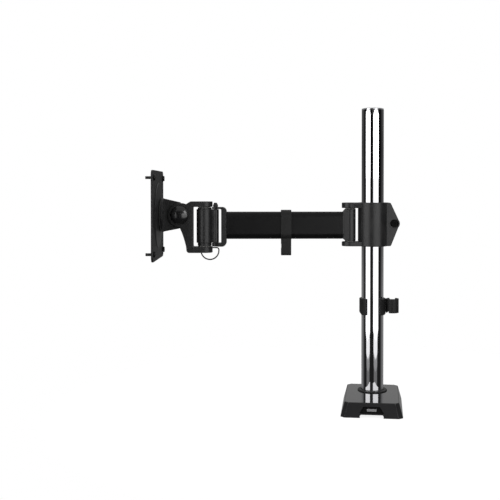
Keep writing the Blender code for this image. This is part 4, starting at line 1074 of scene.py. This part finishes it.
    def clip(self) -> Solid:
        """Band round the tube, with an open pocket for cables moulded under it."""
        band = Solid.slab(self.section(-self.clip_wall - CLEAR), *self.clip_x, Plane.END, rim=0.5 * MM)
        wall, half, corner = 2.0 * MM, 8.6 * MM, 3.0 * MM
        gap = (213.0 * MM, 218.6 * MM)
        mouth = self.mid_z - self.half_z + 1.4 * MM
        inner = half - wall
        hook = fillet([(-half, mouth, 0), (-half, self.clip_low, corner), (half, self.clip_low, corner),
                       (half, gap[0], 0.5 * MM), (inner, gap[0], 0.5 * MM),
                       (inner, self.clip_low + wall, corner - wall),
                       (-inner, self.clip_low + wall, corner - wall), (-inner, mouth, 0)])
        lip = fillet([(half, mouth, 0), (half, gap[1], 0.6 * MM), (inner, gap[1], 0.6 * MM), (inner, mouth, 0)])
        inset = 0.2 * MM
        span = (self.clip_x[0] + inset, self.clip_x[1] - inset)
        band.join(Solid.slab(hook, *span, Plane.END, rim=0.4 * MM, segments=2),
                  Solid.slab(lip, *span, Plane.END, rim=0.4 * MM, segments=2))
        return band.cut(Solid.slab(self.section(-CLEAR), self.clip_x[0] - MM, self.clip_x[1] + MM, Plane.END))

    def build(self, bench: Bench) -> None:
        """Make and hang the arm's pieces."""
        bench.finish("oval_tube", self.tube(), "tube_black", "arm", ["arm_tube"])
        bench.finish("hinge_knuckle", self.knuckle(), "cast_black", "arm", ["arm_root_fitting"])
        bench.finish("arm_fork", self.fork(), "cast_black", "arm", ["arm_end_yoke"])
        bench.finish("arm_wire_clip", self.clip(), "matt_black", "arm_clip", ["arm_cable_clip"])
        for number, x in enumerate(self.screw_spots(), start=1):
            screw = CapScrew((x, 0, self.mid_z), Axis.Y, 2.8 * MM, self.half_y - 0.6 * MM, self.half_y + 0.6 * MM,
                             1.5 * MM, 2.0 * MM, 1.7 * MM, sides=4)
            bench.finish(f"tube_screw_{number}", screw.solid(), "black_oxide", "arm",
                         [f"arm_fitting_screw_{number}"])
        low, high = self.fork_span
        pin = (self.fork_x, 0, 0)
        bolt = CapScrew(pin, Axis.Z, 3.6 * MM, low + 0.2 * MM, low + 2.5 * MM, 2.5 * MM, high + 3.2 * MM, 1.8 * MM)
        bench.finish("link_hinge_pin", bolt.solid(), "black_oxide", "arm", ["link_pin"])
        base = high + CLEAR
        cap = fillet([(0, base + 5.6 * MM, 0), (1.8 * MM, base + 5.6 * MM, 0.8 * MM),
                      (3.4 * MM, base + 2.2 * MM, 0.8 * MM), (3.4 * MM, base, 0.2 * MM),
                      (2.8 * MM, base, 0), (2.8 * MM, base + 3.4 * MM, 0), (0, base + 3.4 * MM, 0)], closed=False)
        bench.finish("link_pin_nut", Solid.turned(cap, pin, steps=64), "black_oxide", "arm", ["link_pin_cap"])


# ---------------------------------------------------------------- link and head

@dataclass
class Head:
    """Double-barrel link, the fork with its tilt cheeks, their bolts and the wire loop."""

    swivel_x: float = -228.6 * MM
    link_x: float = -213.9 * MM
    big: float = 11.0 * MM
    shoulder: float = 9.4 * MM
    small: float = 4.5 * MM
    link_span: Point = (221.1 * MM, 266.5 * MM)
    shoulder_span: Point = (217.0 * MM, 268.5 * MM)
    span: Point = (207.7 * MM, 277.0 * MM)
    slot: Point = (215.8 * MM, 269.7 * MM)
    wall_x: float = -244.2 * MM
    half_y: float = 10.7 * MM
    cheek_inner: float = 6.3 * MM
    tilt: Point = (-261.4 * MM, 258.6 * MM)
    cheek: float = 16.0 * MM
    throat_x: float = -254.3 * MM
    ring_spot: Triple = (-222.3 * MM, 13.2 * MM, 213.4 * MM)
    ring_radius: float = 12.2 * MM
    ring_centre_z: float = 209.3 * MM
    wire: float = 0.9 * MM

    def link(self) -> Solid:
        """Big and small barrels joined by a web, with grooves round the big one's ends."""
        big, small = (self.swivel_x, 0, 0), (self.link_x, 0, 0)
        low, high = self.link_span
        ends = self.shoulder_span
        profile = fillet([(0, ends[1], 0), (self.shoulder, ends[1], 0.3 * MM), (self.shoulder, high, 0.4 * MM),
                          (self.big, high, 0.6 * MM), (self.big, low, 0.6 * MM), (self.shoulder, low, 0.4 * MM),
                          (self.shoulder, ends[0], 0.3 * MM), (0, ends[0], 0)], closed=False, steps=4)
        body = Solid.turned(profile, big, steps=128)
        body.join(Solid.rod(self.small, low + 0.1 * MM, high - 0.1 * MM, small, steps=72, rim=0.4 * MM),
                  Solid.block((self.swivel_x + 5 * MM, 0.5 * MM - self.small, low + 0.6 * MM),
                              (self.link_x, self.small - 0.5 * MM, high - 0.6 * MM)))
        return body.cut(Solid.rod(3.8 * MM, ends[0] - MM, ends[1] + MM, big, steps=48),
                        Solid.rod(2.8 * MM, ends[0] - MM, ends[1] + MM, small, steps=40))

    def fork(self) -> Solid:
        """C-shaped fork with round cheeks, its rims softened after it is cut to both outlines."""
        low, high = self.span
        right = self.swivel_x + self.big
        side = [(right + MM, low), (right + MM, high), (-247.6 * MM, high)]
        side += arc(self.tilt, self.cheek, 63, 268, 64)
        side += curve_between((-262.0 * MM, 242.6 * MM), (-256.2 * MM, 231.0 * MM), (-252.6 * MM, 214.1 * MM))
        side += arc((-248.6 * MM, low + 4 * MM), 4 * MM, 180, 270, 12)
        body = Solid.slab(side, -14 * MM, 14 * MM, Plane.SIDE)
        plan = arc((self.swivel_x, 0), self.half_y, -90, 90, 48)
        plan += [(-290 * MM, self.half_y), (-290 * MM, -self.half_y)]
        body.keep(Solid.slab(plan, low - MM, high + MM))
        slot_low, slot_high = self.slot
        slot = rectangle(((self.wall_x - 190 * MM) / 2, (slot_low + slot_high) / 2),
                         (-190 * MM - self.wall_x) / 2, (slot_high - slot_low) / 2, 1.2 * MM)
        body.cut(Solid.slab(slot, -15 * MM, 15 * MM, Plane.SIDE))
        body.softened(0.7 * MM, 50.0, 3)
        pin, axle = (self.swivel_x, 0, 0), (self.tilt[0], 0, self.tilt[1])
        x, y, z = self.ring_spot
        eye_low, eye_high = low + 2.6 * MM, slot_low - 0.5 * MM
        eye = Solid.block((x - 3 * MM, 5 * MM, eye_low), (x + 3 * MM, y + 2.2 * MM, eye_high), rim=0.6 * MM)
        body.join(eye)
        return body.cut(
            Solid.block((-295 * MM, -self.cheek_inner, low - MM), (self.throat_x, self.cheek_inner, high + MM)),
            Solid.rod(15.0 * MM, -self.cheek_inner, self.cheek_inner, axle, Axis.Y, 96),
            Solid.rod(3.8 * MM, low - MM, high + MM, pin, steps=48),
            Solid.rod(5.9 * MM, low - MM, low + 3.4 * MM, pin),
            Solid.rod(5.9 * MM, high - 3.4 * MM, high + MM, pin),
            Solid.rod(4.3 * MM, -15 * MM, 15 * MM, axle, Axis.Y, 48),
            Solid.rod(self.wire + 0.4 * MM, -4 * MM, 4 * MM, (x, y, z), Axis.X, 24))

    def tilt_cap(self) -> Solid:
        """Domed cap over the tilt bolt's head, hollowed underneath."""
        base, crown, radius = -self.half_y - CLEAR, -self.half_y - 7.0 * MM, 12.3 * MM
        dome = [(radius * math.cos(t), base - 1.6 * MM - 5.1 * MM * math.sin(t))
                for t in (math.radians(90 * i / 20) for i in range(19))]
        profile = [(0, base - 3.7 * MM), (7 * MM, base - 3.7 * MM), (7 * MM, base), (radius - 0.3 * MM, base),
                   (radius, base - 0.3 * MM), *dome, (0, crown)]
        return Solid.turned(profile, (self.tilt[0], 0, self.tilt[1]), Axis.Y, 128)

    def loop(self) -> Solid:
        """Wire loop with one straight side: a round section carried round the loop's outline."""
        x, y, z = self.ring_spot
        radius, corner = self.ring_radius, 3.0 * MM
        path = arc((x, self.ring_centre_z), radius, 180, 360, 48)
        path += arc((x + radius - corner, z - corner), corner, 0, 90, 10)
        path += arc((x - radius + corner, z - corner), corner, 90, 180, 10)
        curve = bpy.data.curves.new("loop_path", "CURVE")
        curve.dimensions, curve.bevel_depth, curve.bevel_resolution = "3D", self.wire, 4
        spline = curve.splines.new("POLY")
        spline.points.add(len(path) - 1)
        for point, (u, v) in zip(spline.points, path):
            point.co = (u, y, v, 1.0)
        spline.use_cyclic_u = True
        item = bpy.data.objects.new("loop_path", curve)
        bpy.context.scene.collection.objects.link(item)
        bpy.context.view_layer.update()
        mesh = bpy.data.meshes.new_from_object(item.evaluated_get(bpy.context.evaluated_depsgraph_get()))
        bpy.data.objects.remove(item, do_unlink=True)
        bm = bmesh.new()
        bm.from_mesh(mesh)
        bpy.data.meshes.remove(mesh)
        return Solid(bm).tidied()

    def build(self, bench: Bench) -> None:
        """Make and hang the link, the head fork and all that they hold."""
        bench.finish("barrel_link", self.link(), "cast_black", "link", ["swivel_link"])
        bench.finish("head_fork", self.fork(), "cast_black", "head", ["head_yoke"])
        bench.finish("domed_tilt_cap", self.tilt_cap(), "cast_black", "head", ["tilt_cap"],
                     look=bench.cap_black)
        bench.finish("wire_loop", self.loop(), "wire_steel", "ring", ["cable_ring"])
        low, high = self.span
        pin, axle = (self.swivel_x, 0, 0), (self.tilt[0], 0, self.tilt[1])
        bolt = CapScrew(pin, Axis.Z, 5.5 * MM, low + 0.3 * MM, low + 3.1 * MM, 3.5 * MM, high - 1.2 * MM, 2.5 * MM)
        bench.finish("head_hinge_pin", bolt.solid(), "black_oxide", "head", ["head_pin"])
        nut = Solid.ring(5.5 * MM, 3.8 * MM, high - 3.1 * MM, high - 0.4 * MM, pin, rim=0.4 * MM, steps=72)
        bench.finish("head_hinge_nut", nut, "black_oxide", "head", ["head_pin_nut"])
        face = self.half_y
        nut = hexagon_nut(7.4 * MM, face + 1.6 * MM, face + 6.4 * MM, 4.3 * MM, axle, Axis.Y)
        bench.finish("tilt_lock_nut", nut, "black_oxide", "head", ["tilt_nut"])
        washer = Solid.ring(8.5 * MM, 4.3 * MM, face + CLEAR, face + CLEAR + MM, axle, Axis.Y, 0.2 * MM, 72)
        bench.finish("tilt_lock_washer", washer, "zinc", "head", ["tilt_nut_washer"])
        bolt = CapScrew(axle, Axis.Y, 6.5 * MM, -face - 3.4 * MM, -face - CLEAR, 4.0 * MM, face + 8 * MM, 2.8 * MM)
        bench.finish("tilt_axle_bolt", bolt.solid(), "black_oxide", "head", ["tilt_bolt"])


@dataclass
class ScreenMount:
    """Tapered tilt block with its round flange, the hub, the square plate and its screws."""

    tilt: Point = (-261.4 * MM, 258.6 * MM)
    tongue_radius: float = 14.5 * MM
    tongue_half: float = 5.2 * MM
    flange_x: float = -286.5 * MM
    flange_radius: float = 22.9 * MM
    hub_radius: float = 43.7 * MM
    hub_front: float = -288.1 * MM
    plate_front: float = -291.3 * MM
    plate_thick: float = 2.6 * MM
    plate_half: float = 60.0 * MM
    pitches: tuple[float, float] = (100.0 * MM, 75.0 * MM)
    hub_screw: float = 11.3 * MM

    def block(self) -> Solid:
        """Tongue that flares to the flange, with bores for the tilt axle and along the flange's axis."""
        z = self.tilt[1]
        root = self.flange_x + 1.5 * MM
        tongue = [(root, z + 22.6 * MM), (root, z - 22.6 * MM), (-262.6 * MM, 240.4 * MM)]
        tongue += arc(self.tilt, self.tongue_radius, -75, 75, 48) + [(-262.4 * MM, 276.0 * MM)]
        body = Solid.slab(tongue, -self.tongue_half, self.tongue_half, Plane.SIDE, rim=0.7 * MM)
        centre = (0, 0, z)
        body.join(Solid.rod(self.flange_radius, self.flange_x, self.flange_x + 3 * MM, centre, Axis.X, 96,
                            rim=0.5 * MM))
        bore = 4.3 * MM
        return body.cut(Solid.rod(bore, -15 * MM, 15 * MM, (self.tilt[0], 0, z), Axis.Y, 48),
                        Solid.rod(bore, self.flange_x - MM, -270.5 * MM, centre, Axis.X, 48))

    def spots(self, reach: float) -> list[Point]:
        """The four corners of a square round the plate's centre, as (y, z)."""
        return [(y * reach, self.tilt[1] + z * reach) for y in (-1, 1) for z in (-1, 1)]

    def hub(self) -> Solid:
        """Shallow conical hub."""
        rear = self.plate_front + CLEAR
        profile = fillet([(4.6 * MM, self.hub_front, 0), (24 * MM, self.hub_front, 1.5 * MM),
                          (42 * MM, rear + MM, 1.0 * MM), (self.hub_radius, rear + 0.4 * MM, 0.2 * MM),
                          (self.hub_radius, rear, 0), (4.6 * MM, rear, 0)])
        body = Solid.turned(profile, (0, 0, self.tilt[1]), Axis.X, 160)
        return body.cut(*[Solid.rod(2.0 * MM, rear - MM, self.hub_front - 0.5 * MM, (0, *spot), Axis.X, 24)
                          for spot in self.spots(self.hub_screw)])

    def plate(self) -> Solid:
        """Square plate with the two screen hole patterns and sunk holes for the hub's screws."""
        back = self.plate_front - self.plate_thick
        body = Solid.slab(rectangle((0, self.tilt[1]), self.plate_half, self.plate_half, 8 * MM, 12), back,
                          self.plate_front, Plane.END, rim=0.5 * MM)
        below, above = back - MM, self.plate_front + MM
        body.cut(Solid.rod(9 * MM, below, above, (0, 0, self.tilt[1]), Axis.X, 72))
        for pitch in self.pitches:
            body.cut(*[Solid.rod(2.4 * MM, below, above, (0, *spot), Axis.X, 32) for spot in self.spots(pitch / 2)])
        for spot in self.spots(self.hub_screw):
            body.cut(Solid.rod(2.0 * MM, below, above, (0, *spot), Axis.X, 24),
                     Solid.rod(3.6 * MM, below, back + 1.5 * MM, (0, *spot), Axis.X, 32))
        return body.softened(0.2 * MM, 50.0, 1)

    def build(self, bench: Bench) -> None:
        """Make and hang the tilting block, the hub, the plate and the screws."""
        bench.finish("tilting_block", self.block(), "cast_black", "tilt", ["tilt_block"])
        bench.finish("turning_hub", self.hub(), "cast_black", "plate", ["screen_hub"])
        bench.finish("square_plate", self.plate(), "sheet_black", "plate", ["screen_plate"])
        back = self.plate_front - self.plate_thick
        for number, spot in enumerate(self.spots(self.hub_screw), start=1):
            screw = CapScrew((0, *spot), Axis.X, 3.3 * MM, back + 0.2 * MM, back + 1.2 * MM, 1.7 * MM,
                             self.hub_front - 0.8 * MM, 1.9 * MM, sides=4)
            bench.finish(f"hub_fixing_{number}", screw.solid(), "zinc", "plate", [f"hub_screw_{number}"])
        for number, spot in enumerate(self.spots(self.pitches[0] / 2), start=1):
            screw = CapScrew((0, *spot), Axis.X, 3.8 * MM, self.plate_front + CLEAR, self.plate_front + 2.6 * MM,
                             2.0 * MM, back - 8 * MM, 2.3 * MM, sides=4)
            bench.finish(f"screen_fixing_{number}", screw.solid(), "black_oxide", "plate", [f"screen_screw_{number}"])
        bolt = CapScrew((0, 0, self.tilt[1]), Axis.X, 8 * MM, back + 0.3 * MM, self.plate_front, 4.0 * MM,
                        -271 * MM, 3.2 * MM)
        bench.finish("plate_turning_bolt", bolt.solid(), "black_oxide", "tilt", ["plate_pivot_bolt"])


# ---------------------------------------------------------------- studio

@dataclass(frozen=True)
class Softbox:
    """Flat soft light that faces the arm from a heading and a height."""

    name: str
    heading: float
    height: float
    size: tuple[float, float]
    glow: float
    distance: float = 1.6

    def build(self) -> None:
        """Add the light."""
        light = bpy.data.lights.new(self.name, "AREA")
        light.shape = "RECTANGLE"
        light.size, light.size_y = self.size
        light.energy = self.glow * math.pi * self.size[0] * self.size[1]
        item = bpy.data.objects.new(self.name, light)
        turn = math.radians(self.heading)
        item.location = (self.distance * math.sin(turn), -self.distance * math.cos(turn), self.height)
        item.rotation_euler = (math.pi / 2, 0, turn)
        item.visible_camera = False
        bpy.context.scene.collection.objects.link(item)


@dataclass
class Studio:
    """Pale floor, soft lights and the camera."""

    lens: float = 61.5
    place: Triple = (0.0117, -1.171, 0.2936)
    yaw: float = 6.58
    dip: float = 1.0
    shift_x: float = -0.0655
    shift_y: float = -0.0918
    front_share: float = 0.06
    boxes: tuple[Softbox, ...] = (
        Softbox("left_band", -48.5, 0.44, (1.46, 0.22), 2.6),
        Softbox("left_box", -48.5, 0.07, (1.46, 0.52), 1.45),
        Softbox("left_foot", -46.0, -0.22, (1.10, 0.06), 1.0),
        Softbox("left_sill", -45.0, -0.27, (0.96, 0.04), 0.27),
        Softbox("left_edge", -45.0, -0.33, (0.90, 0.08), 0.14),
        Softbox("left_top", -46.0, 0.95, (0.80, 0.60), 4.0),
        Softbox("front_card", 2.0, 0.30, (0.30, 0.70), 0.06),
        Softbox("right_band", 35.5, 0.44, (1.66, 0.22), 2.6),
        Softbox("right_box", 35.5, 0.07, (1.66, 0.52), 1.45),
        Softbox("right_foot", 33.5, -0.22, (1.20, 0.06), 1.0),
        Softbox("right_sill", 33.5, -0.27, (1.10, 0.04), 0.27),
        Softbox("right_edge", 33.5, -0.33, (1.00, 0.08), 0.14),
        Softbox("right_top", 40.0, 0.95, (0.80, 0.60), 4.0),
    )
    sky: tuple[tuple[float, float], ...] = (
        (0.00, 0.22), (0.44, 0.22), (0.48, 0.10), (0.525, 0.06), (0.56, 0.10), (0.60, 0.50), (1.00, 0.60))

    def camera(self) -> None:
        """Create the camera and make it the scene's."""
        data = bpy.data.cameras.new("camera")
        data.lens = self.lens
        data.shift_x, data.shift_y = self.shift_x, self.shift_y
        item = bpy.data.objects.new("camera", data)
        item.location = self.place
        item.rotation_euler = (math.radians(90 - self.dip), 0, math.radians(self.yaw))
        bpy.context.scene.collection.objects.link(item)
        bpy.context.scene.camera = item

    def world(self) -> None:
        """White to the eye, and to the object a studio that is dark level with it and pale above."""
        world = bpy.data.worlds.new("studio")
        world.use_nodes = True
        bpy.context.scene.world = world
        wiring = Wiring(world.node_tree)
        ways = wiring.add("ShaderNodeTexCoord").outputs["Generated"]
        parts = wiring.add("ShaderNodeSeparateXYZ", {"Vector": ways})
        up = wiring.spread(parts.outputs["Z"], -1.0, 1.0)
        behind = wiring.spread(parts.outputs["Y"], 0.0, 0.6, self.front_share, 1.0)
        level = wiring.spread(parts.outputs["Z"], 0.28, 0.5, 0.0, 0.75)
        share = wiring.maths("MAXIMUM", behind, level)
        ramp = wiring.add("ShaderNodeValToRGB", {"Fac": up})
        bands = ramp.color_ramp.elements
        while len(bands) < len(self.sky):
            bands.new(0.5)
        for band, (spot, glow) in zip(bands, self.sky):
            band.position, band.color = spot, (glow, glow, glow, 1.0)
        eye = wiring.add("ShaderNodeLightPath").outputs["Is Camera Ray"]
        dimmed = wiring.add("ShaderNodeVectorMath", {0: ramp.outputs["Color"], 1: share}, operation="MULTIPLY")
        colour = wiring.blend(eye, dimmed.outputs[0], (1.0, 1.0, 1.0))
        back = world.node_tree.nodes["Background"]
        world.node_tree.links.new(colour, back.inputs["Color"])

    def floor(self) -> None:
        """Pale floor that melts into the white round it and stays out of reflections."""
        bm = bmesh.new()
        bmesh.ops.create_circle(bm, cap_ends=True, segments=96, radius=2.0)
        mesh = bpy.data.meshes.new("floor")
        bm.to_mesh(mesh)
        bm.free()
        item = bpy.data.objects.new("floor", mesh)
        material = bpy.data.materials.new("pale_floor")
        material.use_nodes = True
        wiring = Wiring(material.node_tree)
        shader = material.node_tree.nodes["Principled BSDF"]
        shader.inputs["Roughness"].default_value = 0.9
        shader.inputs["Base Color"].default_value = (0.30, 0.30, 0.30, 1.0)
        shader.inputs["Emission Color"].default_value = (1.0, 1.0, 1.0, 1.0)
        shader.inputs["Emission Strength"].default_value = 0.88
        where = wiring.add("ShaderNodeTexCoord").outputs["Object"]
        far = wiring.add("ShaderNodeVectorMath", {0: where}, operation="LENGTH").outputs["Value"]
        gone = wiring.spread(far, 0.06, 0.45)
        clear = wiring.add("ShaderNodeBsdfTransparent")
        mixed = wiring.add("ShaderNodeMixShader", {0: gone, 1: shader.outputs[0], 2: clear.outputs[0]})
        output = material.node_tree.nodes["Material Output"]
        material.node_tree.links.new(mixed.outputs[0], output.inputs["Surface"])
        mesh.materials.append(material)
        item.visible_glossy = False
        item.visible_shadow = False
        bpy.context.scene.collection.objects.link(item)

    def build(self) -> None:
        """Set the whole studio up."""
        bpy.context.scene.view_settings.view_transform = "Standard"
        self.camera()
        self.world()
        self.floor()
        for box in self.boxes:
            box.build()


def main() -> None:
    """Build the studio, then every sub-assembly from the desk out to the screen plate."""
    logging.basicConfig(level=logging.INFO, format="%(name)s: %(message)s")
    Studio().build()
    bench = Bench(Effects())
    for assembly in (Base(), Pole(), Collar(), Arm(), Head(), ScreenMount()):
        assembly.build(bench)
    bench.dress_nodes()
    log.info("%d pieces made", len(bench.pieces))


if __name__ == "__main__":
    main()
